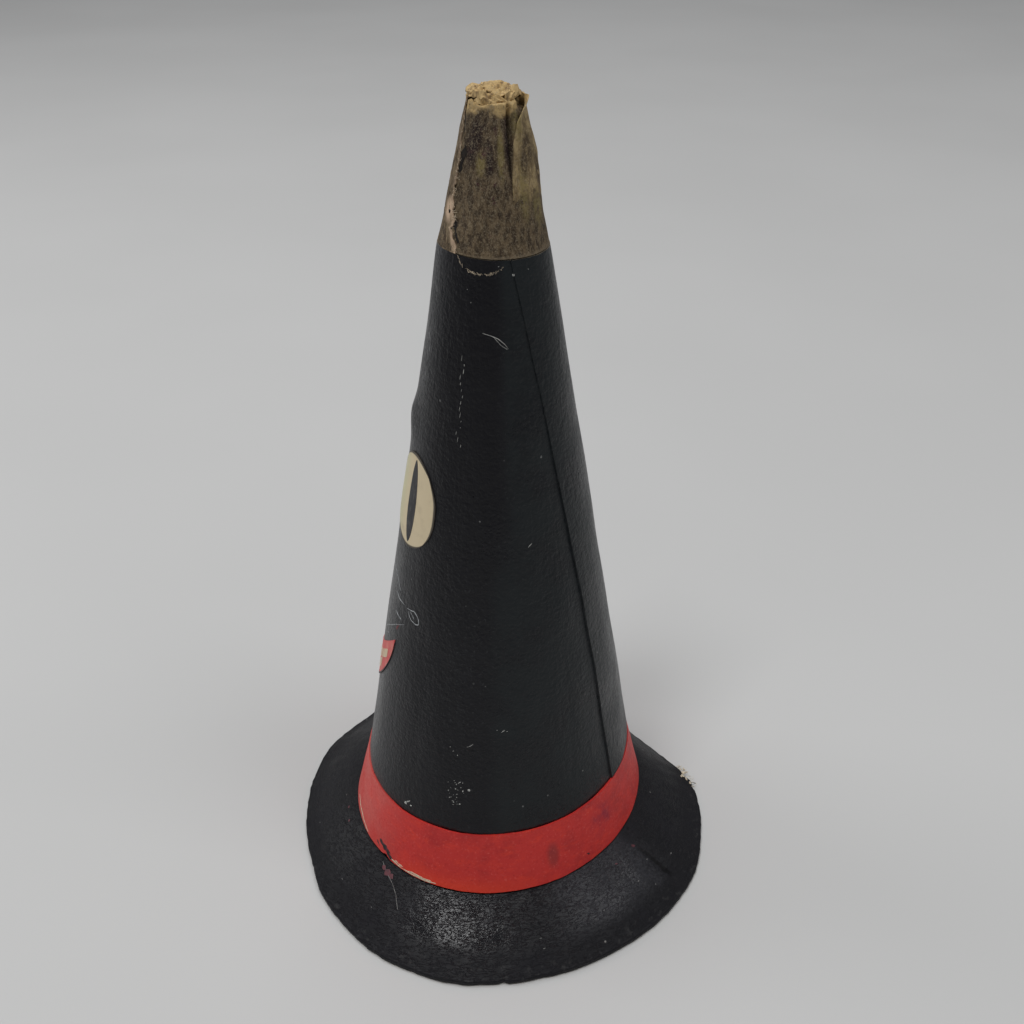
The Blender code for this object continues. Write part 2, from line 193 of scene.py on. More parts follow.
@dataclass(frozen=True)
class ConeShape:
    """Rolled cone: its radius, its oval foot, its lap edge and its small bumps."""

    apex_z: float = 285.0 * MM
    slope: float = 0.1732
    foot_z: float = 12.9 * MM
    top_z: float = 203.2 * MM
    wall: float = 2.2 * MM
    band_bottom_z: float = 13.9 * MM
    band_top_z: float = 34.2 * MM
    band_foot_radius: float = 48.7 * MM
    band_foot_z: float = 13.4 * MM
    band_proud: float = 0.25 * MM
    band_thickness: float = 0.7 * MM
    gap: float = 0.3 * MM
    lap_step: float = 0.6 * MM
    lap_pressed_z: tuple[float, float] = (120.0 * MM, 195.0 * MM)
    lap_pressed: float = 0.6
    seam_turn: float = 180.6
    seam_twist: float = 5.153
    oval_turn: float = 60.0
    oval_foot: float = 1.8 * MM
    oval_end_z: float = 110.0 * MM
    joint_rise: float = 0.9 * MM
    joint_turn: float = 38.0
    joint_spread: float = 52.0
    blister_turn: float = 15.0
    blister_z: float = 157.0 * MM
    blister_radius: float = 5.0 * MM
    blister_height: float = 1.0 * MM

    def radius(self, z: Array) -> Array:
        """Radius of the plain cone, which flares under the band.

        Args:
            z: Heights.

        Returns:
            The radius at each height.
        """
        z = np.asarray(z, float)
        cone = self.slope * (self.apex_z - z)
        top = self.slope * (self.apex_z - self.band_top_z)
        share = (self.band_top_z - z) / (self.band_top_z - self.band_foot_z)
        return np.where(z >= self.band_top_z, cone, top + (self.band_foot_radius - top) * share)

    def oval(self, z: Array, turn: Array) -> Array:
        """How far the slightly oval foot stands out from a true circle."""
        amount = self.oval_foot * (1.0 - smooth(self.foot_z, self.oval_end_z, z))
        return amount * np.cos(np.radians(2.0 * (turn - self.oval_turn)))

    def seam_at(self, z: Array) -> Array:
        """Turn at which the rolled sheet's edge lies."""
        return self.seam_turn - self.seam_twist / (self.apex_z - z)

    def lap(self, z: Array, turn: Array) -> Array:
        """Offset of the spiral: highest just after the seam, pressed flatter toward the top."""
        step = self.lap_step * (1.0 - self.lap_pressed * smooth(*self.lap_pressed_z, z))
        return step * (0.5 - ((turn - self.seam_at(z)) % 360.0) / 360.0)

    def blister(self, z: Array, turn: Array) -> Array:
        """Raised blister on the flank, with a steeper upper side.

        Args:
            z: Heights.
            turn: Turns in degrees.

        Returns:
            The height of the blister.
        """
        across = np.radians(turn_between(turn, self.blister_turn)) * self.radius(z)
        up = z - self.blister_z
        up = np.where(up > 0.0, up * 1.25, up * 0.8)
        return self.blister_height * bell(np.hypot(across, up), self.blister_radius)

    def rise(self, turn: Array) -> Array:
        """How much higher the joint with the tip lies on one side."""
        return self.joint_rise * bell(turn_between(turn, self.joint_turn), self.joint_spread)

    def unevenness(self, z: Array, turn: Array) -> Array:
        """Hand-rolled paper's faint waves and upright ridges.

        Args:
            z: Heights.
            turn: Turns in degrees.

        Returns:
            The offset of the paper.
        """
        points = place(self.radius(z), turn, z)
        stretched = points * np.array((1.0, 1.0, 0.22))
        return MM * (0.16 * lumps(points, 17 * MM, 1.0) + 0.09 * lumps(stretched, 6 * MM, 2.0))

    def crown(self, z: Array, turn: Array) -> Array:
        """Radius of the crown's paper above the band."""
        radius = self.radius(z) + self.oval(z, turn) + self.lap(z, turn)
        return radius + self.blister(z, turn) + self.unevenness(z, turn)

    def under_band(self, z: Array, turn: Array) -> Array:
        """Radius of the crown's paper where the band covers it."""
        radius = self.radius(z) + self.oval(z, turn) + self.band_proud
        return radius - self.band_thickness - self.gap

    def band(self, z: Array, turn: Array) -> Array:
        """Radius of the band's outside.

        Args:
            z: Heights.
            turn: Turns in degrees.

        Returns:
            The radius at each place.
        """
        points = place(self.radius(z), turn, z)
        radius = self.radius(z) + self.oval(z, turn) + self.band_proud
        return radius + 0.08 * MM * lumps(points, 9 * MM, 4.0)

    def on_crown(self, turn: Array, z: Array, height: Array) -> Array:
        """Points over the crown's paper."""
        return place(self.crown(z, turn) + height, turn, z)

    def on_band(self, turn: Array, z: Array, height: Array) -> Array:
        """Points over the band's paper."""
        return place(self.band(z, turn) + height, turn, z)


@dataclass(frozen=True)
class BrimShape:
    """Drooping ring: its outline, its droop, its crease, its wrinkles and its rim."""

    cone: ConeShape = ConeShape()
    thickness: float = 2.4 * MM
    shelf_z: float = 12.6 * MM
    root_z: float = 13.35 * MM
    edge_z: float = 2.1 * MM
    droop_power: float = 1.15
    wave: float = 0.5 * MM
    rim_flat: float = 1.8 * MM
    rim_round: float = 0.6 * MM
    worn_turn: float = 230.0
    worn_distance: float = 59.0 * MM
    crease_turn: float = 158.0
    crease_width: float = 3.6
    crease_depth: float = 0.9 * MM
    crease_radius: float = 58.0 * MM
    crease_reach: float = 8.0 * MM
    crack_turn: float = 55.0
    crack_twist: float = 9.0
    crack_width: float = 0.9
    crack_depth: float = 0.25 * MM
    nick_depth_mm: float = 1.3
    # Torn nicks of the rim: turn_deg, width_deg, share of the deepest one's depth
    nicks: Triples = ((198.5, 1.6, 1.0), (194.5, 0.9, 0.6), (101.6, 0.8, 0.6))
    # Outline of the rim: turn_deg, radius_mm
    outline: Pairs = (
        (0, 68.5), (15, 68.0), (30, 68.0), (50, 70.2), (70, 71.9), (90, 72.4), (100, 71.4),
        (115, 70.5), (130, 70.3), (150, 71.3), (164, 71.9), (180, 70.7), (197, 69.7), (262, 69.8),
        (280, 71.0), (310, 68.5), (331, 66.2), (350, 68.8),
    )

    def root(self, turn: Array) -> Array:
        """Radius of the brim's root, where the band ends."""
        return self.cone.band_foot_radius + self.cone.oval(np.full_like(turn, self.cone.foot_z), turn)

    def edge(self, turn: Array) -> Array:
        """Radius of the uneven rim, cut straight where it is worn.

        Args:
            turn: Turns in degrees.

        Returns:
            The radius of the rim at each turn.
        """
        radius = rounded_table(self.outline, turn, 360.0) * MM
        away = turn_between(turn, self.worn_turn)
        straight = self.worn_distance / np.cos(np.radians(np.clip(away, -60.0, 60.0)))
        radius = np.where(np.abs(away) < 60.0, np.minimum(radius, straight), radius)
        rim = place(np.full_like(turn, 70 * MM), turn, 0.0)
        rough = lumps(rim, 2.6 * MM, 11.0) + 0.6 * lumps(rim, 1.1 * MM, 12.0)
        torn = sum(share * bell(turn_between(turn, nick), width) for nick, width, share in self.nicks)
        return radius + MM * (0.16 * rough - self.nick_depth_mm * torn)

    def relief(self, radius: Array, turn: Array) -> Array:
        """Wrinkles of the lacquered paper, which run round the hat.

        Args:
            radius: Distances from the axis.
            turn: Turns in degrees.

        Returns:
            The offset of the paper.
        """
        drawn = place(np.full_like(radius, 1.0), turn, radius * 0.0) * 26 * MM
        drawn[..., 2] = radius
        fine = lumps(drawn, 1.5 * MM, 21.0)
        broad = lumps(place(radius, turn, 0.0), 9.0 * MM, 22.0)
        small = lumps(place(radius, turn, 0.0), 3.2 * MM, 23.0)
        glossy = smooth(60.0, 74.0, turn) * (1.0 - smooth(104.0, 128.0, turn))
        return MM * (0.14 * broad + (0.05 + 0.02 * glossy) * small + (0.02 + 0.02 * glossy) * fine)

    def top(self, share: Array, radius: Array, turn: Array) -> Array:
        """Height of the upper face from its root at share 0 to its rim at share 1.

        Args:
            share: Places from the root, 0, to the rim, 1.
            radius: Distances from the axis.
            turn: Turns in degrees.

        Returns:
            The height at each place.
        """
        z = self.root_z + (self.edge_z - self.root_z) * share**self.droop_power
        free = 4.0 * share * (1.0 - share)
        z = z + self.wave * free * np.sin(np.radians(3.0 * turn + 40.0))
        fold = turn_between(turn, self.crease_turn)
        valley = np.exp(-np.abs(fold) / (0.45 * self.crease_width))
        valley = valley - 0.6 * bell(fold + 2.0 * self.crease_width, self.crease_width)
        z = z - self.crease_depth * valley * bell(radius - self.crease_radius, self.crease_reach)
        along = self.crack_turn + self.crack_twist * smooth(52 * MM, 66 * MM, radius)
        crack = bell(turn_between(turn, along), self.crack_width)
        z = z - self.crack_depth * crack * smooth(51 * MM, 54 * MM, radius)
        held = smooth(0.0, 0.12, share) * (1.0 - smooth(0.9, 1.0, share))
        return z + held * self.relief(radius, turn)

    def on_top(self, turn: Array, radius: Array, height: Array) -> Array:
        """Points over the brim's upper face at turns and radii.

        Args:
            turn: Turns in degrees.
            radius: Distances from the axis.
            height: Heights off the paper.

        Returns:
            The points.
        """
        start, end = self.root(turn), self.edge(turn) - self.rim_round
        share = np.clip((radius - start) / (end - start), 0.0, 1.0)
        return place(radius, turn, self.top(share, radius, turn) + height)


@dataclass(frozen=True)
class PeakShape:
    """Kraft tip: tapering wall with folds, and its slight lean."""

    shoulder_z: float = 203.35 * MM
    spigot_z: float = 190.0 * MM
    lip_z: float = 236.6 * MM
    lean: float = 0.7 * MM
    lean_turn: float = 190.0
    # Outline of the wall: z_mm, radius_mm
    outline: Pairs = (
        (203.35, 14.15), (206.0, 13.5), (211.0, 12.45), (216.5, 11.4), (221.5, 10.4), (226.5, 9.35),
        (231.5, 8.25), (235.0, 7.45), (238.5, 6.7), (242.0, 6.0),
    )
    # Folds of the wall: turn_deg, width_deg, depth_mm at the lip (a ridge is negative), start_z_mm
    folds: Quads = (
        (20, 9, 0.9, 214), (48, 6, -0.5, 206), (84, 10, 0.35, 218), (105, 9, -0.25, 214),
        (127.0, 4.6, 2.3, 219), (134, 10, -0.7, 206), (168, 9, 0.6, 216), (205, 8, 1.2, 212),
        (228, 8, -0.6, 214), (262, 9, 1.1, 213), (300, 8, 0.7, 217), (330, 9, 1.0, 214),
    )

    def fold(self, z: Array, turn: Array) -> Array:
        """How far the folds and ridges move the paper in.

        Args:
            z: Heights.
            turn: Turns in degrees.

        Returns:
            The offset inwards.
        """
        z = np.asarray(z, float)
        moved = np.zeros(np.broadcast(z, turn).shape)
        for fold_turn, width, depth, start in self.folds:
            growth = smooth(start * MM, self.lip_z, z)
            early = 0.35 * smooth(start * MM, (start + 6.0) * MM, z)
            moved += depth * MM * (0.65 * growth + early) * bell(turn_between(turn, fold_turn), width)
        return moved

    def smooth_wall(self, z: Array) -> Array:
        """Radius of the tip without its folds."""
        return line_table(self.outline, np.asarray(z, float) / MM) * MM

    def wall(self, z: Array, turn: Array) -> Array:
        """Radius of the tip's paper.

        Args:
            z: Heights.
            turn: Turns in degrees.

        Returns:
            The radius at each place.
        """
        points = place(10 * MM, turn, z)
        stretched = points * np.array((1.0, 1.0, 0.45))
        rough = 0.10 * lumps(points, 4.2 * MM, 31.0) + 0.07 * lumps(stretched, 1.7 * MM, 32.0)
        free = smooth(203.5 * MM, 207 * MM, z)
        return self.smooth_wall(z) - self.fold(z, turn) + rough * MM * free

    def leaning(self, points: Array) -> Array:
        """Points moved by the tip's slight lean.

        Args:
            points: Points, one row each.

        Returns:
            The moved points.
        """
        reach = np.maximum(0.0, points[..., 2] - self.shoulder_z) / (self.lip_z - self.shoulder_z)
        aside = place(self.lean, self.lean_turn, 0.0)
        return points + reach[..., None] * aside

    def on_wall(self, turn: Array, z: Array, height: Array) -> Array:
        """Points over the tip's paper."""
        return self.leaning(place(self.wall(z, turn) + height, turn, z))


CONE = ConeShape()
BRIM = BrimShape()
PEAK = PeakShape()


# Hand operations


class Workshop:
    """Hand operations on one piece at a time: add, cut, warp, thicken, join and finish."""

    stroke_step: float = 0.45 * MM
    stroke_look: float = 0.4 * MM
    stroke_rows: int = 4

    def alone(self, piece: Piece) -> None:
        """Select one piece only, in object mode.

        Args:
            piece: Piece to work on.
        """
        bpy.ops.object.select_all(action="DESELECT")
        piece.select_set(True)
        bpy.context.view_layer.objects.active = piece

    def _named(self, name: str) -> Piece:
        """Name the primitive just added and settle its place into its mesh.

        Args:
            name: Name of the piece.

        Returns:
            The piece.
        """
        piece = bpy.context.object
        piece.name = name
        piece.data.name = name
        self.alone(piece)
        bpy.ops.object.transform_apply(location=True, rotation=True, scale=True)
        return piece

    def tube(self, name: str, columns: int, cuts: Sequence[int], radii: Sequence[float],
             heights: Sequence[float]) -> Piece:
        """Open cone whose upright edges are cut into rows.

        Args:
            name: Name of the piece.
            columns: Number of upright edges.
            cuts: Cuts of each pass over the upright edges.
            radii: Radius at the foot and at the top.
            heights: Height of the foot and of the top.

        Returns:
            The new piece.
        """
        bpy.ops.object.select_all(action="DESELECT")
        bpy.ops.mesh.primitive_cone_add(
            vertices=columns, radius1=radii[0], radius2=radii[1], depth=heights[1] - heights[0],
            end_fill_type="NOTHING", location=(0.0, 0.0, (heights[0] + heights[1]) / 2.0),
        )
        piece = self._named(name)
        bpy.context.tool_settings.mesh_select_mode = (False, True, False)
        bpy.ops.object.mode_set(mode="EDIT")
        for count in cuts:
            mesh = bmesh.from_edit_mesh(piece.data)
            for edge in mesh.edges:
                edge.select_set(abs(edge.verts[0].co.z - edge.verts[1].co.z) > 1e-7)
            bmesh.update_edit_mesh(piece.data)
            bpy.ops.mesh.subdivide(number_cuts=count)
        bpy.ops.object.mode_set(mode="OBJECT")
        return piece

    def ring(self, name: str, around: int, across: int, radius: float, thick: float) -> Piece:
        """Closed ring of a round section.

        Args:
            name: Name of the piece.
            around: Number of sections round the ring.
            across: Number of points in a section.
            radius: Radius of the ring.
            thick: Radius of the section.

        Returns:
            The new piece.
        """
        bpy.ops.object.select_all(action="DESELECT")
        bpy.ops.mesh.primitive_torus_add(
            major_segments=around, minor_segments=across, major_radius=radius, minor_radius=thick
        )
        return self._named(name)

    def sheet(self, name: str, columns: int, rows: int, lay: SheetLay) -> Piece:
        """Flat grid laid in place.

        Args:
            name: Name of the piece.
            columns: Number of cells across.
            rows: Number of cells up.
            lay: Gives points from positions of -1 to 1 across and up.

        Returns:
            The new piece.
        """
        bpy.ops.object.select_all(action="DESELECT")
        bpy.ops.mesh.primitive_grid_add(x_subdivisions=columns, y_subdivisions=rows, size=2.0)
        piece = self._named(name)
        self.warp(piece, lambda points: lay(points[:, 0], points[:, 1]))
        return piece

    def warp(self, piece: Piece, rule: Callable[[Array], Array]) -> None:
        """Move every vertex by a rule.

        Args:
            piece: Piece whose mesh is moved.
            rule: Gives new points from the old ones.
        """
        flat = np.empty(len(piece.data.vertices) * 3)
        piece.data.vertices.foreach_get("co", flat)
        moved = rule(flat.reshape(-1, 3))
        piece.data.vertices.foreach_set("co", np.ascontiguousarray(moved).ravel())
        piece.data.update()

    def thicken(self, piece: Piece, thickness: float, inner: int = 0, even: bool = False) -> None:
        """Give a sheet its thickness, inwards.

        Args:
            piece: Sheet with its faces outwards.
            thickness: Thickness of the paper.
            inner: How many material slots further the inner face and the edge are.
            even: Keep the thickness the same across folds; only for smooth sheets.
        """
        self.alone(piece)
        bpy.ops.object.modifier_add(type="SOLIDIFY")
        wall = piece.modifiers[-1]
        wall.thickness = thickness
        wall.offset = -1.0
        wall.use_even_offset = even
        wall.use_quality_normals = even
        wall.material_offset = inner
        wall.material_offset_rim = inner
        bpy.ops.object.modifier_apply(modifier=wall.name)

    def join(self, pieces: Sequence[Piece], name: str) -> Piece:
        """Join small pieces into one.

        Args:
            pieces: Pieces to join.
            name: Name of the joined piece.

        Returns:
            The joined piece.
        """
        bpy.ops.object.select_all(action="DESELECT")
        for piece in pieces:
            piece.select_set(True)
        bpy.context.view_layer.objects.active = pieces[0]
        if len(pieces) > 1:
            bpy.ops.object.join()
        joined = bpy.context.view_layer.objects.active
        joined.name = name
        joined.data.name = name
        return joined

    def finish(self, piece: Piece, slot: Slot, materials: Sequence[Material],
               replaced: Sequence[str] = (), sharp: float = 35.0) -> None:
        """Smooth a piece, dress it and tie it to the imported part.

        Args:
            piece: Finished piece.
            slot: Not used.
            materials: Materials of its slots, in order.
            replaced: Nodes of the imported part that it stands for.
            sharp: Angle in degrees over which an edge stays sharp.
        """
        self.alone(piece)
        bpy.ops.object.shade_smooth_by_angle(angle=math.radians(sharp))
        for material in materials:
            if material.name not in [held.name for held in piece.data.materials if held]:
                piece.data.materials.append(material)
        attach(piece, BODY)
        if replaced:
            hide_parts(*replaced)
        LOG.info("%s: %d faces", piece.name, len(piece.data.polygons))

    def dress(self, piece: Piece, materials: Sequence[Material]) -> None:
        """Give a sheet its materials before it gets its thickness."""
        for material in materials:
            piece.data.materials.append(material)

    def cut_paper(self, piece: Piece, slot: Slot, paper: Material,
                  thickness: float, replaced: Sequence[str] = (), sharp: float = 35.0) -> None:
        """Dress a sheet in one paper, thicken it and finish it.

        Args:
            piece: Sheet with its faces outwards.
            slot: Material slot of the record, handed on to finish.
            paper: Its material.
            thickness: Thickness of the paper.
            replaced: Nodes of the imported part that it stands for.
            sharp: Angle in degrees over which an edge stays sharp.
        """
        self.dress(piece, (paper,))
        self.thicken(piece, thickness)
        self.finish(piece, slot, (paper,), replaced, sharp)

    def paint(self, pieces: Sequence[Piece], name: str, slot: Slot, tone: "PlainPaint",
              thickness: float = 0.0) -> None:
        """Join strokes or fibres into one painted piece.

        Args:
            pieces: Strokes or fibres.
            name: Name of the joined piece.
            slot: Material slot of the record, handed on to finish.
            tone: Its paint.
            thickness: Thickness of the strokes, 0 for fibres, which have theirs.
        """
        piece = self.join(pieces, name)
        if thickness > 0.0:
            self.thicken(piece, thickness)
        self.finish(piece, slot, (tone.material(),))

    def ribbon(self, name: str, lay: Lay, path: Pairs, width: float, height: float,
               arm: Callable[[Array], Array], ragged: float, seed: float) -> Piece:
        """Thin stroke that lies on a surface.

        Args:
            name: Name of the piece.
            lay: Gives points from turns, places up or out, and heights off the surface.
            path: Turn in degrees and place up or out, in metres, along the stroke.
            width: Width of the stroke.
            height: Height of its middle off the surface.
            arm: Radius at a place up or out.
            ragged: Share by which its width varies.
            seed: Number that picks the unevenness.

        Returns:
            The new piece.
        """
        turns = np.array([row[0] for row in path], float)
        others = np.array([row[1] for row in path], float)
        per_degree = np.radians(1.0) * arm(others)
        steps = np.hypot(np.diff(turns) * per_degree[:-1], np.diff(others))
        run = np.concatenate(([0.0], np.cumsum(steps)))
        count = max(3, int(run[-1] / self.stroke_step))

        def rule(s: Array, t: Array) -> Array:
            """Points of the stroke.

            Args:
                s: Places along, -1 to 1.
                t: Places across, -1 to 1.

            Returns:
                The points.
            """
            along = (s + 1.0) / 2.0 * run[-1]
            turn, other = np.interp(along, run, turns), np.interp(along, run, others)
            ahead = np.minimum(along + self.stroke_look, run[-1])
            behind = np.maximum(along - self.stroke_look, 0.0)
            scale = np.radians(1.0) * arm(other)
            x = (np.interp(ahead, run, turns) - np.interp(behind, run, turns)) * scale
            y = np.interp(ahead, run, others) - np.interp(behind, run, others)
            length = np.maximum(np.hypot(x, y), 1e-9)
            line = np.stack((along, 0.0 * along, 0.0 * along), axis=-1)
            uneven = lumps(line, 1.3 * MM, seed) * ragged
            half = 0.5 * width * (1.0 + uneven) * np.sqrt(np.clip(1.04 - s**4, 0.0, 1.0))
            wander = 0.25 * width * lumps(line, 2.2 * MM, seed + 9.0)
            turn = turn - (y / length) * (half * t + wander) / scale
            other = other + (x / length) * (half * t + wander)
            return lay(turn, other, height * (1.0 - 0.8 * t * t))

        return self.sheet(name, count, self.stroke_rows, rule)

    def strokes(self, name: str, lay: Lay, table: Strokes, height: float,
                arm: Callable[[Array], Array], ragged: float, seed: float) -> list[Piece]:
        """Thin strokes of a table.

        Args:
            name: Start of their names.
            lay: Gives points from turns, places up or out, and heights off the surface.
            table: Width in mm, then turn in degrees and place in mm along each stroke.
            height: Height of their middle off the surface.
            arm: Radius at a place up or out.
            ragged: Share by which their width varies.
            seed: Number that picks the first stroke's unevenness.

        Returns:
            The new pieces.
        """
        return [
            self.ribbon(f"{name}_{number}", lay, [(turn, spot * MM) for turn, spot in path],
                        width * MM, height, arm, ragged, seed + number)
            for number, (width, path) in enumerate(table)
        ]

    def thread(self, name: str, points: Sequence[Vector], thickness: float) -> Piece:
        """Round fibre through points.

        Args:
            name: Name of the piece.
            points: Points that it runs through.
            thickness: Its diameter.

        Returns:
            The new piece, as a mesh.
        """
        curve = bpy.data.curves.new(name, "CURVE")
        curve.dimensions = "3D"
        curve.bevel_depth = thickness / 2.0
        curve.bevel_resolution = 1
        curve.use_fill_caps = True
        spline = curve.splines.new("NURBS")
        spline.points.add(len(points) - 1)
        for held, point in zip(spline.points, points):
            held.co = (*point, 1.0)
        spline.use_endpoint_u = True
        spline.order_u = 3
        spline.resolution_u = 3
        piece = bpy.data.objects.new(name, curve)
        bpy.context.scene.collection.objects.link(piece)
        self.alone(piece)
        bpy.ops.object.convert(target="MESH")
        return bpy.context.object


WORKSHOP = Workshop()


# Finishes


class Board:
    """Shader board of one material, with short ways to add nodes."""

    def __init__(self, name: str) -> None:
        """Start a material with its principled shader.

        Args:
            name: Name of the material.
        """
        self.material = bpy.data.materials.new(name)
        self.material.use_nodes = True
        self.tree = self.material.node_tree
        self.shader = self.tree.nodes["Principled BSDF"]
        coordinates = self.tree.nodes.new("ShaderNodeTexCoord")
        self.place, self.uv = coordinates.outputs["Object"], coordinates.outputs["UV"]

    def feed(self, socket: Socket, value: object) -> None:
        """Link a socket, or set it where the value is a number or a colour.

        Args:
            socket: Socket to feed.
            value: Socket, number or colour.
        """
        if isinstance(value, Socket):
            self.tree.links.new(value, socket)
        elif isinstance(value, tuple) and socket.type == "RGBA":
            socket.default_value = (*value, 1.0)
        else:
            socket.default_value = value

    def node(self, kind: str, feeds: dict, **settings: object) -> bpy.types.bpy_prop_collection:
        """Add a node, set it up and feed it.

        Args:
            kind: Type of the node, after "ShaderNode".
            feeds: Value of each input by its name or number; None leaves the input as it is.
            settings: Settings of the node itself.

        Returns:
            Its outputs.
        """
        node = self.tree.nodes.new(f"ShaderNode{kind}")
        for name, value in settings.items():
            setattr(node, name, value)
        for key, value in feeds.items():
            if value is not None:
                self.feed(node.inputs[key], value)
        return node.outputs

    def math(self, operation: str, *values: object) -> Socket:
        """Result of a Math node."""
        return self.node("Math", dict(enumerate(values)), operation=operation)[0]

    def times(self, first: object, second: object) -> Socket:
        """Product of two values."""
        return self.math("MULTIPLY", first, second)

    def split(self, vector: object) -> tuple[Socket, ...]:
        """Three parts of a vector."""
        return tuple(self.node("SeparateXYZ", {0: vector}))

    def vector(self, x: object, y: object, z: object) -> Socket:
        """Vector from three parts."""
        return self.node("CombineXYZ", {0: x, 1: y, 2: z})[0]

    def stretch(self, vector: object, scale: Place) -> Socket:
        """Vector scaled along its axes by a Mapping node."""
        return self.node("Mapping", {"Vector": vector, "Scale": scale})[0]

    def noise(self, vector: object, scale: float, detail: float = 2.0, roughness: float = 0.5,
              distortion: float = 0.0) -> Socket:
        """Value of a noise texture, from 0 to 1."""
        return self.node("TexNoise", {"Vector": vector, "Scale": scale, "Detail": detail,
                                      "Roughness": roughness, "Distortion": distortion})[0]

    def cells(self, vector: object, scale: float) -> tuple[Socket, ...]:
        """Distance and colour of a cell texture."""
        outputs = self.node("TexVoronoi", {"Vector": vector, "Scale": scale})
        return outputs["Distance"], outputs["Color"]

    def between(self, value: object, low: float, high: float, start: float = 0.0,
                end: float = 1.0) -> Socket:
        """Smooth step that rises or falls with a value.

        Args:
            value: Value to look up.
            low: Where the result is start; may be the larger.
            high: Where the result is end.
            start: Result at low.
            end: Result at high.

        Returns:
            Socket of the result.
        """
        if low > high:
            low, high, start, end = high, low, end, start
        return self.node("MapRange", {"Value": value, "From Min": low, "From Max": high, "To Min": start,
                                      "To Max": end}, interpolation_type="SMOOTHSTEP")["Result"]

    def mix(self, share: object, first: object, second: object) -> Socket:
        """Colour between two others, by the second one's share."""
        return self.node("Mix", {0: share, 6: first, 7: second}, data_type="RGBA")[2]

    def bump(self, height: object, strength: float, distance: float, under: object = None) -> Socket:
        """Normal from a height, over another normal if one is given."""
        return self.node("Bump", {"Strength": strength, "Distance": distance, "Height": height,
                                  "Normal": under})["Normal"]

    def close(self, colour: object, rough: object, normal: object = None,
              specular: float = 0.5) -> Material:
        """Feed the shader and hand over the material.

        Args:
            colour: Base colour.
            rough: Roughness.
            normal: Normal.
            specular: Specular level.

        Returns:
            The material.
        """
        self.feed(self.shader.inputs["Base Color"], colour)
        self.feed(self.shader.inputs["Roughness"], rough)
        self.shader.inputs["Specular IOR Level"].default_value = specular
        if normal is not None:
            self.feed(self.shader.inputs["Normal"], normal)
        return self.material

    def polar(self) -> "Polar":
        """Turn, sine, cosine, radius and height of each place on the hat.

        Returns:
            The sockets.
        """
        x, y, z = self.split(self.place)
        back = self.times(y, -1.0)
        radius = self.math("SQRT", self.math("ADD", self.times(x, x), self.times(y, y)))
        turn = self.math("DEGREES", self.math("ARCTAN2", x, back))
        sine = self.math("DIVIDE", x, radius)
        cosine = self.math("DIVIDE", back, radius)
        return Polar(turn, sine, cosine, radius, z)

    def turned(self, polar: "Polar", centre: object) -> Socket:
        """Angle from a turn, 0 to 180 degrees on either side."""
        away = self.math("WRAP", self.math("SUBTRACT", polar.turn, centre), 180.0, -180.0)
        return self.math("ABSOLUTE", away)

    def spot(self, polar: "Polar", turn: float, z: float, half_turn: float, half_z: float) -> Socket:
        """Soft-edged oval mask round a turn and a height.

        Args:
            polar: Where a place lies on the hat.
            turn: Turn of its middle, in degrees.
            z: Height of its middle, in mm.
            half_turn: Half its width, in degrees.
            half_z: Half its height, in mm.

        Returns:
            Socket of the mask, 1 inside.
        """
        across = self.math("DIVIDE", self.turned(polar, turn), half_turn)
        up = self.math("DIVIDE", self.math("SUBTRACT", polar.z, z * MM), half_z * MM)
        away = self.math("SQRT", self.math("ADD", self.times(across, across), self.times(up, up)))
        return self.between(away, 1.25, 0.35)


@dataclass(frozen=True)
class Polar:
    """Sockets that say where a place lies on the hat."""

    turn: Socket
    sine: Socket
    cosine: Socket
    radius: Socket
    z: Socket


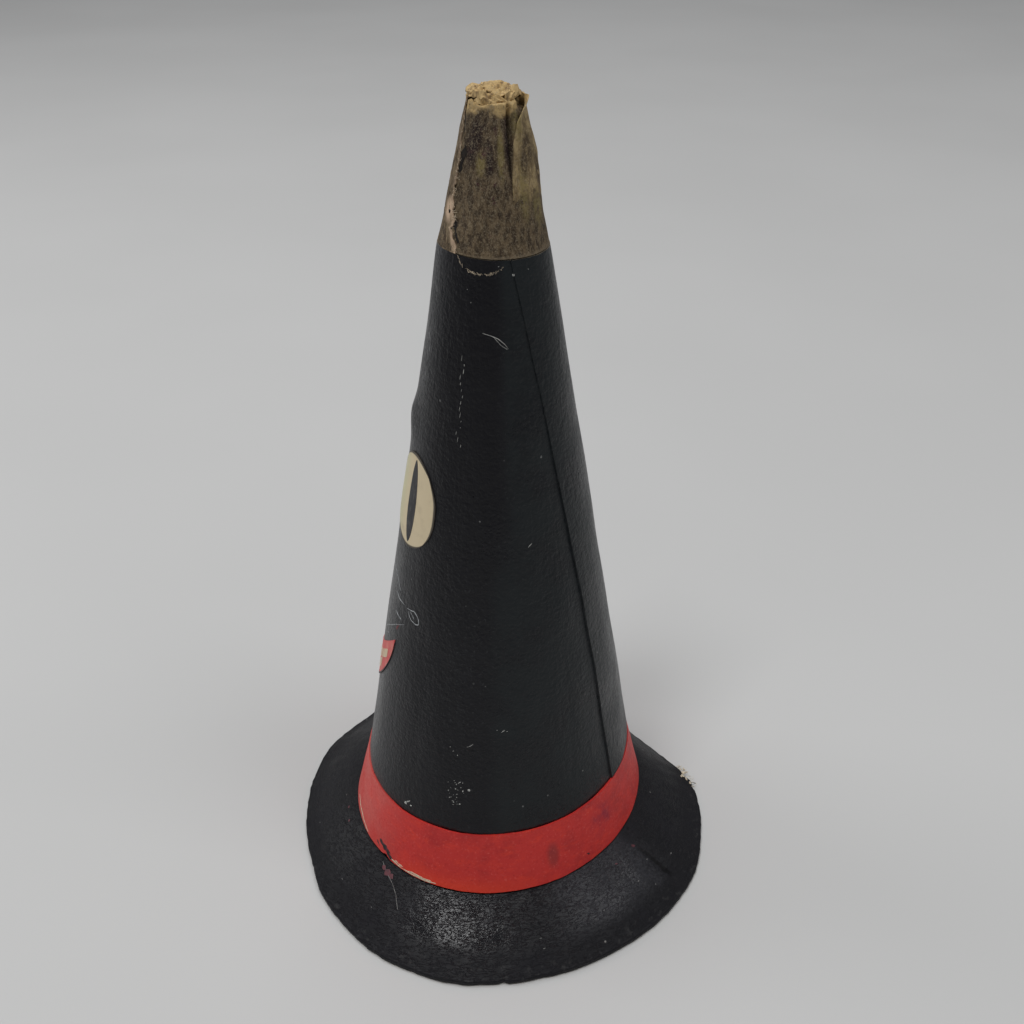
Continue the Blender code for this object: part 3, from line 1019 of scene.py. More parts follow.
@dataclass(frozen=True)
class CrownLacquer:
    """Glossy black lacquer over rolled paper: fine grain, faint upright streaks, dust and specks, with
    painted sheen on both flanks and painted shade high up.
    """

    name: str = "crown_black_lacquer"
    deep: Colour = (0.0026, 0.0026, 0.0046)
    dusty: Colour = (0.0095, 0.0100, 0.0125)
    grey: Colour = (0.028, 0.029, 0.032)
    sheen_teal: Colour = (0.0080, 0.0115, 0.0130)
    rubbed: Colour = (0.20, 0.20, 0.21)
    sheen_pale_grey: Colour = (0.085, 0.086, 0.087)
    shade_violet: Colour = (0.0009, 0.0007, 0.0026)
    speck: Colour = (0.35, 0.35, 0.34)
    specular: float = 0.28

    def material(self) -> Material:
        """Make the material.

        Returns:
            The material.
        """
        board = Board(self.name)
        polar = board.polar()
        drawn = board.vector(board.times(polar.sine, 0.045), board.times(polar.cosine, 0.045),
                             board.times(polar.z, 0.12))
        streaks = board.noise(drawn, 420.0, 3.0, 0.6)
        clouds = board.noise(board.place, 75.0, 4.0, 0.6)
        grain = board.noise(board.place, 1150.0, 3.0, 0.6)
        pores = board.noise(board.place, 560.0, 2.0, 0.5)
        colour = board.mix(board.between(clouds, 0.45, 0.75, 0.0, 0.5), self.deep, self.dusty)
        colour = board.mix(board.between(streaks, 0.56, 0.72, 0.0, 0.35), colour, self.dusty)
        colour = board.mix(board.between(grain, 0.58, 0.74, 0.0, 0.8), colour, self.grey)
        # Painted sheen: the flank from about turn 95 to 230 is lightened towards teal grey, in clouds.
        start = board.times(board.between(polar.z, 0.115, 0.145), 9.0)
        side = board.turned(polar, board.math("ADD", start, 158.0))
        right_flank_sheen = board.times(board.between(side, 65.0, 54.0),
                           board.between(clouds, 0.35, 0.6, 0.3, 0.8))
        colour = board.mix(right_flank_sheen, colour, self.sheen_teal)
        # Painted shade: the upper crown, from about turn -50 to 110, is darkened towards a deep violet.
        upper = board.times(board.between(polar.z, 0.09, 0.16),
                            board.between(board.turned(polar, 30.0), 82.0, 68.0))
        colour = board.mix(board.times(upper, 0.75), colour, self.shade_violet)
        # Painted sheen: the flank round turn 10, beside the face, is lightened towards grey in clouds, more
        # so low down.
        near_face = board.between(board.turned(polar, 10.0), 52.0, 20.0)
        left_flank_sheen = board.times(near_face, board.between(clouds, 0.3, 0.7, 0.15, 0.5))
        left_flank_sheen = board.times(left_flank_sheen, board.between(polar.z, 0.04, 0.16, 1.8, 0.7))
        colour = board.mix(left_flank_sheen, colour, self.grey)
        # Painted sheen: below about 110 mm, round turn 12, streaks of pale grey lighten the flank.
        left_edge_sheen = board.times(board.between(board.turned(polar, 12.0), 30.0, 8.0),
                             board.between(polar.z, 0.128, 0.104))
        left_edge_sheen = board.times(left_edge_sheen, board.between(streaks, 0.3, 0.65, 0.4, 0.8))
        colour = board.mix(left_edge_sheen, colour, self.sheen_pale_grey)
        strokes = board.noise(board.stretch(board.place, (1.0, 1.0, 0.22)), 1500.0, 2.0, 0.6)
        strokes = board.times(board.between(strokes, 0.60, 0.70),
                              board.between(board.turned(polar, 20.0), 26.0, 8.0))
        strokes = board.times(strokes, board.between(polar.z, 0.125, 0.165, 0.0, 0.6))
        colour = board.mix(strokes, colour, self.rubbed)
        away, tint = board.cells(board.place, 230.0)
        pick = board.between(board.split(tint)[0], 0.80, 0.84)
        speck = board.times(board.between(away, 0.10, 0.05), pick)
        speck = board.times(speck, board.between(grain, 0.42, 0.6))
        colour = board.mix(board.times(speck, 0.6), colour, self.speck)
        rough = board.math("ADD", board.between(clouds, 0.3, 0.7, 0.30, 0.42),
                           board.between(grain, 0.3, 0.7, -0.06, 0.06))
        normal = board.bump(streaks, 0.35, 0.5 * MM)
        normal = board.bump(pores, 0.6, 0.5 * MM, normal)
        normal = board.bump(grain, 0.8, 0.34 * MM, normal)
        return board.close(colour, rough, normal, self.specular)


@dataclass(frozen=True)
class BrimLacquer:
    """Black lacquer of the brim: glossier at the front, wrinkled round the hat, worn at the rim, with
    painted sheen on the right and painted shade and highlight at the crease.
    """

    name: str = "brim_black_lacquer"
    deep: Colour = (0.0024, 0.0023, 0.0042)
    dusty: Colour = (0.0056, 0.0053, 0.0085)
    grey: Colour = (0.017, 0.017, 0.021)
    sheen_grey: Colour = (0.027, 0.027, 0.032)
    rim_wear: Colour = (0.08, 0.078, 0.076)
    speck: Colour = (0.33, 0.32, 0.30)
    # Painted highlight beside the crease, then painted shade along its fold
    ridge: Colour = (0.045, 0.045, 0.051)
    line: Colour = (0.0008, 0.0008, 0.0012)
    specular: float = 0.26

    def material(self) -> Material:
        """Make the material.

        Returns:
            The material.
        """
        board = Board(self.name)
        polar = board.polar()
        drawn = board.vector(
            board.math("MULTIPLY_ADD", polar.radius, 0.31, board.times(polar.sine, 0.018)),
            board.math("MULTIPLY_ADD", polar.radius, -0.23, board.times(polar.cosine, 0.018)),
            board.times(polar.radius, 0.92))
        waves = board.noise(drawn, 1250.0, 3.0, 0.6, 0.6)
        groove = board.between(board.math("ABSOLUTE", board.math("SUBTRACT", waves, 0.5)), 0.0, 0.05)
        clouds = board.noise(board.place, 90.0, 4.0, 0.6)
        grain = board.noise(board.place, 1150.0, 3.0, 0.6)
        pores = board.noise(board.place, 520.0, 3.0, 0.55)
        glossy = board.times(board.between(polar.turn, 64.0, 76.0),
                             board.between(polar.turn, 113.0, 96.0))
        glossy = board.times(glossy, board.between(polar.radius, 68.0 * MM, 62.5 * MM, 0.15))
        uneven = board.math("MULTIPLY_ADD", board.math("SUBTRACT", clouds, 0.5), 14.0, polar.turn)
        sheen = board.times(board.between(uneven, 112.0, 132.0), board.between(uneven, 160.5, 152.5))
        sheen = board.times(sheen, board.between(polar.radius, 67.0 * MM, 60.0 * MM))
        colour = board.mix(board.between(clouds, 0.42, 0.72, 0.0, 0.6), self.deep, self.dusty)
        colour = board.mix(board.between(grain, 0.58, 0.74, 0.0, 0.8), colour, self.grey)
        rim = board.between(polar.radius, 64.5 * MM, 70.5 * MM)
        worn = board.times(rim, board.between(pores, 0.58, 0.70))
        colour = board.mix(board.times(worn, 0.25), colour, self.rim_wear)
        away, tint = board.cells(board.place, 210.0)
        speck = board.times(board.between(away, 0.085, 0.045),
                            board.between(board.split(tint)[0], 0.88, 0.91))
        colour = board.mix(board.times(speck, 0.6), colour, self.speck)
        # Painted sheen: between about turn 112 and 160, inside about 67 mm radius, the lacquer is lightened
        # towards grey.
        painted_sheen = board.times(sheen, board.between(grain, 0.3, 0.6, 0.35, 0.9))
        colour = board.mix(painted_sheen, colour, self.sheen_grey)
        # Painted shade and highlight at the crease: a dark line along its fold and a lighter ridge on its
        # nearer side.
        fold = board.math("SUBTRACT", polar.turn, BRIM.crease_turn)
        fold = board.math("ADD", fold, board.times(board.math("SUBTRACT", pores, 0.5), 3.0))
        reach = board.times(board.between(polar.radius, 51.0 * MM, 54.0 * MM),
                            board.between(polar.radius, 68.0 * MM, 64.0 * MM))
        line = board.times(board.between(board.math("ABSOLUTE", fold), 1.0, 0.35), reach)
        ridge = board.between(board.math("ABSOLUTE", board.math("ADD", fold, 4.0)), 3.2, 1.2)
        ridge = board.times(board.times(ridge, reach), board.between(grain, 0.40, 0.62))
        line = board.times(line, board.between(clouds, 0.38, 0.56, 0.25, 0.8))
        colour = board.mix(board.times(ridge, 0.35), colour, self.ridge)
        colour = board.mix(line, colour, self.line)
        rough = board.math("ADD", board.between(clouds, 0.3, 0.7, 0.40, 0.52), board.times(glossy, -0.21))
        rough = board.math("ADD", rough, board.times(sheen, -0.13))
        rough = board.math("ADD", rough, board.times(line, 0.4))
        rough = board.math("ADD", rough, board.between(polar.radius, 61.0 * MM, 66.0 * MM, 0.0, 0.14))
        normal = board.bump(pores, 0.3, 0.20 * MM)
        normal = board.bump(groove, 0.6, 0.16 * MM, normal)
        normal = board.bump(grain, 0.7, 0.15 * MM, normal)
        return board.close(colour, rough, normal, self.specular)


@dataclass(frozen=True)
class RawBoard:
    """Bare grey-brown board of the hat's inside and underside."""

    name: str = "bare_board"
    light: Colour = (0.27, 0.22, 0.155)
    dark: Colour = (0.12, 0.092, 0.062)
    fibre: Colour = (0.36, 0.31, 0.23)

    def material(self) -> Material:
        """Make the material.

        Returns:
            The material.
        """
        board = Board(self.name)
        stains = board.noise(board.place, 55.0, 5.0, 0.62)
        fibres = board.noise(board.stretch(board.place, (1.0, 1.0, 0.2)), 900.0, 3.0, 0.6)
        colour = board.mix(board.between(stains, 0.38, 0.66), self.light, self.dark)
        colour = board.mix(board.between(fibres, 0.55, 0.75, 0.0, 0.5), colour, self.fibre)
        normal = board.bump(fibres, 0.5, 0.15 * MM, board.bump(stains, 0.3, 0.5 * MM))
        return board.close(colour, 0.88, normal)


@dataclass(frozen=True)
class RedBandPaper:
    """Red paper: brushed tone, brighter orange-red at the front foot, darker smears."""

    name: str = "red_band_paper"
    red: Colour = (0.58, 0.034, 0.029)
    bright: Colour = (0.74, 0.052, 0.024)
    dull: Colour = (0.38, 0.020, 0.022)
    pink: Colour = (0.66, 0.135, 0.115)
    smear: Colour = (0.10, 0.03, 0.035)
    bruise: Colour = (0.17, 0.012, 0.045)
    fibre: Colour = (0.75, 0.14, 0.11)

    def material(self) -> Material:
        """Make the material.

        Returns:
            The material.
        """
        board = Board(self.name)
        polar = board.polar()
        drawn = board.vector(board.times(polar.sine, 0.02), board.times(polar.cosine, 0.02), polar.z)
        brushed = board.noise(drawn, 520.0, 4.0, 0.6, 0.3)
        clouds = board.noise(board.place, 110.0, 4.0, 0.6)
        grain = board.noise(board.place, 1300.0, 3.0, 0.6)
        low = board.times(board.between(polar.z, 21.0 * MM, 14.5 * MM),
                          board.times(board.between(polar.turn, 52.0, 72.0),
                                      board.between(polar.turn, 125.0, 92.0)))
        colour = board.mix(board.between(clouds, 0.42, 0.70, 0.0, 0.6), self.red, self.dull)
        colour = board.mix(board.between(brushed, 0.48, 0.72, 0.0, 0.45), colour, self.bright)
        colour = board.mix(board.times(low, 0.85), colour, self.bright)
        pink = board.times(board.between(board.turned(polar, 0.0), 66.0, 34.0),
                           board.between(clouds, 0.3, 0.65, 0.25, 0.7))
        colour = board.mix(pink, colour, self.pink)
        smear = board.times(board.spot(polar, 122.0, 23.0, 3.0, 5.0), 0.5)
        colour = board.mix(smear, colour, self.smear)
        bruise = board.times(board.spot(polar, 148.0, 25.0, 7.0, 6.0),
                             board.between(clouds, 0.40, 0.60, 0.1, 0.6))
        colour = board.mix(bruise, colour, self.bruise)
        colour = board.mix(board.between(grain, 0.58, 0.72, 0.0, 0.45), colour, self.dull)
        colour = board.mix(board.between(grain, 0.42, 0.30, 0.0, 0.35), colour, self.fibre)
        normal = board.bump(grain, 0.5, 0.14 * MM, board.bump(clouds, 0.25, 0.5 * MM))
        return board.close(colour, board.between(grain, 0.3, 0.7, 0.42, 0.6), normal, 0.3)


@dataclass(frozen=True)
class KraftPaper:
    """Old brown kraft paper: mottled, with dark stains, ochre patches, a lighter rubbed top and painted
    shade in the fold beside the flap.
    """

    name: str = "kraft_paper_tip"
    brown: Colour = (0.040, 0.0258, 0.0150)
    light: Colour = (0.138, 0.099, 0.058)
    tan: Colour = (0.52, 0.365, 0.165)
    stain_and_valley_shade: Colour = (0.013, 0.0055, 0.0070)
    ochre: Colour = (0.21, 0.165, 0.062)
    purple: Colour = (0.052, 0.013, 0.022)
    # Share of painted shade in the fold beside the flap
    valley: float = 0.9
    foot_brown: Colour = (0.046, 0.030, 0.016)
    foot_light: Colour = (0.165, 0.118, 0.066)
    foot_edge_pale: Colour = (0.21, 0.165, 0.11)
    hollow_shade: Colour = (0.030, 0.007, 0.007)
    grain_dark: Colour = (0.018, 0.012, 0.008)
    grain_light: Colour = (0.27, 0.22, 0.145)
    fibre: Colour = (0.30, 0.25, 0.17)
    lift: float = 0.0
    # Stains and ochre patches: turn_deg, z_mm, half_turn_deg, half_z_mm; the stains near turn 125 are
    # painted shade in the fold beside the flap
    stains: Quads = (
        (74, 231.5, 18, 5.0), (64, 227.5, 12, 4.0), (97, 226.5, 7, 5.0), (125.5, 230.0, 6.5, 7.5),
        (125.0, 231.0, 5.0, 6.5), (158, 228.0, 15, 5.0), (146, 224.5, 9, 4.0), (176, 222.0, 9, 5.0),
        (240, 226.0, 22, 7.0), (330, 222.0, 16, 9.0),
    )
    patches: Quads = (
        (84, 225.0, 8, 3.0), (113, 227.0, 5.5, 6.5), (141, 219.0, 9, 8.0), (143, 233.0, 9, 5.0),
        (165, 214.0, 12, 5.0), (20, 222.0, 12, 6.0), (200, 214.0, 18, 5.0),
    )

    def material(self) -> Material:
        """Make the material.

        Returns:
            The material.
        """
        board = Board(self.name)
        polar = board.polar()
        drawn = board.stretch(board.place, (1.0, 1.0, 0.5))
        mottle = board.noise(drawn, 760.0, 5.0, 0.7)
        clouds = board.noise(board.place, 170.0, 4.0, 0.6)
        grain = board.noise(board.place, 1900.0, 3.0, 0.65)
        fibre = board.noise(board.stretch(board.place, (1.0, 1.0, 0.6)), 1100.0, 2.0, 0.5, 1.6)
        fibre = board.math("ABSOLUTE", board.math("SUBTRACT", fibre, 0.5))
        colour = board.mix(board.between(mottle, 0.40, 0.60), self.brown, self.light)
        colour = board.mix(board.between(clouds, 0.5, 0.72, 0.0, 0.5), colour, self.brown)
        edge_noise = board.between(board.noise(board.place, 560.0, 5.0, 0.8), 0.38, 0.48)
        for shades, tint, amount in ((self.patches, self.ochre, 0.75), (self.stains, self.stain_and_valley_shade, 0.9)):
            for row in shades:
                share = board.times(board.spot(polar, *row), edge_noise)
                colour = board.mix(board.times(share, amount), colour, tint)
        blush = board.times(board.spot(polar, 90.0, 222.0, 30.0, 16.0),
                            board.between(board.noise(board.place, 300.0, 4.0, 0.65), 0.56, 0.68))
        colour = board.mix(board.times(blush, 0.9), colour, self.purple)
        # Painted shade in the deep fold beside the flap: a dark reddish spot at its top and the stain colour
        # down the valley.
        hollow_shade = board.spot(polar, 127.0, 234.5, 5.5, 4.5)
        colour = board.mix(hollow_shade, colour, self.hollow_shade)
        valley = board.spot(polar, 125.5, 229.8, 4.8, 7.0)
        colour = board.mix(board.times(valley, self.valley), colour, self.stain_and_valley_shade)
        height = board.math("ADD", polar.z, board.between(clouds, 0.3, 0.7, -1.6 * MM, 1.6 * MM))
        top = board.between(height, 235.0 * MM, 237.6 * MM)
        colour = board.mix(board.times(top, 0.92), colour, self.tan)
        # Paler along the lower edge.
        foot = board.between(polar.z, 204.6 * MM, 203.7 * MM, 0.0, 0.5)
        colour = board.mix(foot, colour, self.foot_edge_pale)
        pale = board.between(fibre, 0.035, 0.008, 0.0, 0.42)
        colour = board.mix(pale, colour, self.fibre)
        colour = board.mix(board.between(grain, 0.56, 0.70, 0.0, 0.55), colour, self.grain_dark)
        colour = board.mix(board.between(grain, 0.44, 0.32, 0.0, 0.5), colour, self.grain_light)
        if self.lift > 0.0:
            colour = board.mix(board.between(mottle, 0.3, 0.75, self.lift, self.lift * 0.5), colour,
                               self.tan)
            height = board.math("ADD", polar.z, board.between(edge_noise, 0.0, 1.0, -1.6 * MM, 1.6 * MM))
            foot = board.between(height, 220.5 * MM, 214.5 * MM)
            plain = board.mix(board.between(mottle, 0.40, 0.60), self.foot_brown, self.foot_light)
            plain = board.mix(board.between(grain, 0.56, 0.70, 0.0, 0.55), plain, self.grain_dark)
            colour = board.mix(foot, colour, plain)
        normal = board.bump(mottle, 0.7, 0.4 * MM, board.bump(clouds, 0.4, 0.8 * MM))
        normal = board.bump(grain, 0.7, 0.22 * MM, normal)
        return board.close(colour, board.between(mottle, 0.3, 0.7, 0.66, 0.86), normal, 0.2)


@dataclass(frozen=True)
class TornEdgePaper:
    """Torn strip: kraft paper whose edge frays to pale fibres across its own width."""

    name: str = "torn_kraft_strip"
    brown: Colour = (0.20, 0.150, 0.092)
    tan: Colour = (0.34, 0.27, 0.17)
    pale: Colour = (0.55, 0.40, 0.28)
    dark: Colour = (0.055, 0.036, 0.022)

    def material(self) -> Material:
        """Make the material.

        Returns:
            The material.
        """
        board = Board(self.name)
        across = board.split(board.uv)[0]
        polar = board.polar()
        mottle = board.noise(board.stretch(board.place, (1.0, 1.0, 0.4)), 700.0, 4.0, 0.68)
        grain = board.noise(board.place, 1800.0, 3.0, 0.65)
        colour = board.mix(board.between(mottle, 0.38, 0.62), self.brown, self.dark)
        frayed = board.between(board.math("ADD", across, board.between(mottle, 0.3, 0.7, -0.05, 0.05)),
                               0.90, 0.99)
        bare = board.times(board.spot(polar, 40.0, 213.4, 15.0, 3.2),
                           board.between(mottle, 0.36, 0.46, 0.25, 1.0))
        high = board.between(polar.z, 215.0 * MM, 220.0 * MM, 0.8, 0.28)
        frayed = board.math("MAXIMUM", board.times(frayed, high), bare)
        colour = board.mix(frayed, colour, self.pale)
        colour = board.mix(board.between(grain, 0.58, 0.72, 0.0, 0.5), colour, self.dark)
        colour = board.mix(board.between(grain, 0.42, 0.30, 0.0, 0.5), colour, self.tan)
        return board.close(colour, 0.85, board.bump(mottle, 0.7, 0.45 * MM), 0.2)


@dataclass(frozen=True)
class PlainPaint:
    """Brushed paint or cut paper in one tone, slightly uneven and rubbed."""

    name: str
    tone: Colour
    worn: Colour
    roughness: float = 0.6
    scale: float = 500.0
    amount: float = 0.6

    def material(self) -> Material:
        """Make the material.

        Returns:
            The material.
        """
        board = Board(self.name)
        streaks = board.noise(board.stretch(board.place, (1.0, 1.0, 0.4)), self.scale, 4.0, 0.6)
        grain = board.noise(board.place, 1600.0, 3.0, 0.6)
        colour = board.mix(board.between(streaks, 0.45, 0.70, 0.0, self.amount), self.tone, self.worn)
        colour = board.mix(board.between(grain, 0.6, 0.75, 0.0, 0.3), colour, self.worn)
        normal = board.bump(grain, 0.4, 0.10 * MM, board.bump(streaks, 0.3, 0.2 * MM))
        return board.close(colour, self.roughness, normal)


@dataclass(frozen=True)
class EyePaper:
    """Cream eye: peach tone, yellow-green towards one side, with a dark line round its edge."""

    name: str = "cream_eye_paper"
    cream: Colour = (0.65, 0.54, 0.355)
    green: Colour = (0.56, 0.54, 0.34)
    aged: Colour = (0.42, 0.33, 0.21)
    line: Colour = (0.030, 0.024, 0.020)

    def material(self) -> Material:
        """Make the material.

        Returns:
            The material.
        """
        board = Board(self.name)
        polar = board.polar()
        clouds = board.noise(board.place, 160.0, 4.0, 0.6)
        grain = board.noise(board.place, 1500.0, 3.0, 0.6)
        near_front = board.between(board.math("ABSOLUTE", polar.turn), 34.0, 18.0)
        colour = board.mix(board.times(near_front, 0.8), self.cream, self.green)
        colour = board.mix(board.between(clouds, 0.5, 0.75, 0.0, 0.45), colour, self.aged)
        x, y, _ = board.split(board.uv)
        x = board.times(board.math("SUBTRACT", x, 0.5), 2.0)
        y = board.times(board.math("SUBTRACT", y, 0.5), 2.0)
        edge = board.math("MAXIMUM", board.math("ABSOLUTE", x), board.math("ABSOLUTE", y))
        colour = board.mix(board.between(edge, 0.93, 0.97, 0.0, 0.95), colour, self.line)
        return board.close(colour, 0.55, board.bump(grain, 0.4, 0.1 * MM))


# Pieces


@dataclass
class Crown:
    """Tall cone rolled from lacquered paper, with its lap edge, scratches and specks."""

    columns: int = 232
    cuts: tuple[int, int] = (11, 12)
    seam_width: float = 0.35
    recess_z: float = 34.5 * MM
    dust_specks: int = 22
    # Heights of the rows: share of the way up, z_mm
    rows: Pairs = (
        (0.0, 12.9), (0.06, 34.45), (0.068, 34.55), (0.985, 202.6), (1.0, 203.2),
    )
    # Scratches and scuffs: width_mm, then turn_deg and z_mm along each
    scratches: Strokes = (
        (0.12, ((91, 185.9), (98, 185.3), (104, 184.5), (109, 183.2), (112, 181.9))),
        (0.09, ((100.5, 184.9), (106, 182.9), (111.5, 181.7))),
        (0.16, ((103.5, 71.0), (101.8, 70.2))),
        (0.12, ((89.5, 66.0), (88.0, 65.0), (86.5, 64.6))),
        (0.14, ((84.5, 52.3), (83.2, 51.5))),
        (0.16, ((121.5, 128.6), (119.0, 127.6))),
    )
    # Small pale specks: turn_deg, z_mm, size_mm
    specks: Triples = (
        (100.0, 71.0, 0.4), (104.5, 70.4, 0.5), (82.3, 49.4, 0.6), (83.0, 47.6, 0.6),
        (80.4, 46.2, 0.6), (84.6, 50.2, 0.5), (85.4, 48.9, 0.7), (88.0, 49.6, 1.2),
        (81.6, 44.8, 0.5), (84.2, 44.2, 0.8), (79.2, 48.4, 0.5), (82.0, 51.6, 0.4),
        (79.0, 63.6, 0.5), (80.5, 62.4, 0.6), (82.5, 61.2, 0.5), (88.0, 65.0, 0.4),
        (84.0, 52.0, 0.4), (141.0, 47.0, 0.5), (60.8, 37.8, 2.4), (59.4, 36.9, 1.5),
        (62.4, 37.0, 1.1), (120.0, 128.0, 0.45), (76.0, 196.0, 0.5), (119.0, 199.6, 1.4),
        (136.0, 200.4, 0.6), (106.0, 201.8, 0.8), (80.0, 193.0, 0.5), (240.0, 96.0, 0.5),
        (262.0, 150.0, 0.4), (305.0, 58.0, 0.5), (330.0, 120.0, 0.4),
    )

    def _shape(self, points: Array) -> Array:
        """New places of the cone's vertices: rolled, lapped and uneven.

        Args:
            points: Vertices as added, one row each.

        Returns:
            Their new places.
        """
        index = column_of(points, self.columns)
        share = (points[:, 2] - CONE.foot_z) / (CONE.top_z - CONE.foot_z)
        z = line_table(self.rows, share) * MM
        rolled = CONE.seam_at(z) + index * (360.0 - self.seam_width) / (self.columns - 1)
        wander = 0.25 * lumps(along_z(z), 14 * MM, 5.0)
        moved = rolled + wander * bell(index - self.columns * np.round(index / self.columns), 6.0)
        inside = rolled + 0.3 * self.seam_width
        radius = np.where(z < self.recess_z, CONE.under_band(z, inside), CONE.crown(z, inside))
        z = z + CONE.rise(rolled) * smooth(192 * MM, CONE.top_z, z)
        return place(radius, moved, z)

    def _shell(self) -> None:
        """Roll the shell."""
        shell = WORKSHOP.tube("crown_shell", self.columns, self.cuts, (47 * MM, 14 * MM),
                              (CONE.foot_z, CONE.top_z))
        WORKSHOP.warp(shell, self._shape)
        outside, inside = CrownLacquer().material(), RawBoard().material()
        WORKSHOP.dress(shell, (outside, inside))
        WORKSHOP.thicken(shell, CONE.wall, inner=1, even=True)
        WORKSHOP.finish(shell, Slot.BLACK, (outside, inside), ("crown",), sharp=32.0)

    def _marks(self) -> None:
        """Lay the pale scratches, scuffs and specks on the lacquer."""
        pieces = WORKSHOP.strokes("scratch", CONE.on_crown, self.scratches, 0.05 * MM, CONE.radius,
                                  0.6, 40.0)
        shift = np.random.default_rng(7)
        for z in np.linspace(179.0, 156.0, 15):
            turn = 75.0 + 1.6 * math.sin(z * 0.9) + shift.uniform(-0.9, 0.9)
            length = shift.uniform(0.3, 1.5)
            rows = [(turn, (z - length / 2) * MM), (turn + 0.3, (z + length / 2) * MM)]
            pieces.append(WORKSHOP.ribbon(f"scuff_{len(pieces)}", CONE.on_crown, rows, 0.10 * MM,
                                          0.05 * MM, CONE.radius, 0.6, z))
        dust = [(shift.uniform(78.6, 86.4), shift.uniform(43.6, 52.4), shift.uniform(0.22, 0.42))
                for _ in range(self.dust_specks)]
        for number, (turn, z, size) in enumerate((*self.specks, *dust)):
            rows = [(turn - 0.4 * size, z * MM), (turn + 0.4 * size, (z + 0.35 * size) * MM)]
            pieces.append(WORKSHOP.ribbon(f"speck_{number}", CONE.on_crown, rows, 0.55 * size * MM,
                                          0.07 * MM, CONE.radius, 0.7, number + 70.0))
        chalk = PlainPaint("pale_scuff", (0.50, 0.50, 0.47), (0.16, 0.16, 0.155), 0.8, 900.0, 0.8)
        WORKSHOP.paint(pieces, "crown_marks", Slot.CREAM, chalk, 0.04 * MM)

    def build(self) -> None:
        """Build the crown."""
        self._shell()
        self._marks()


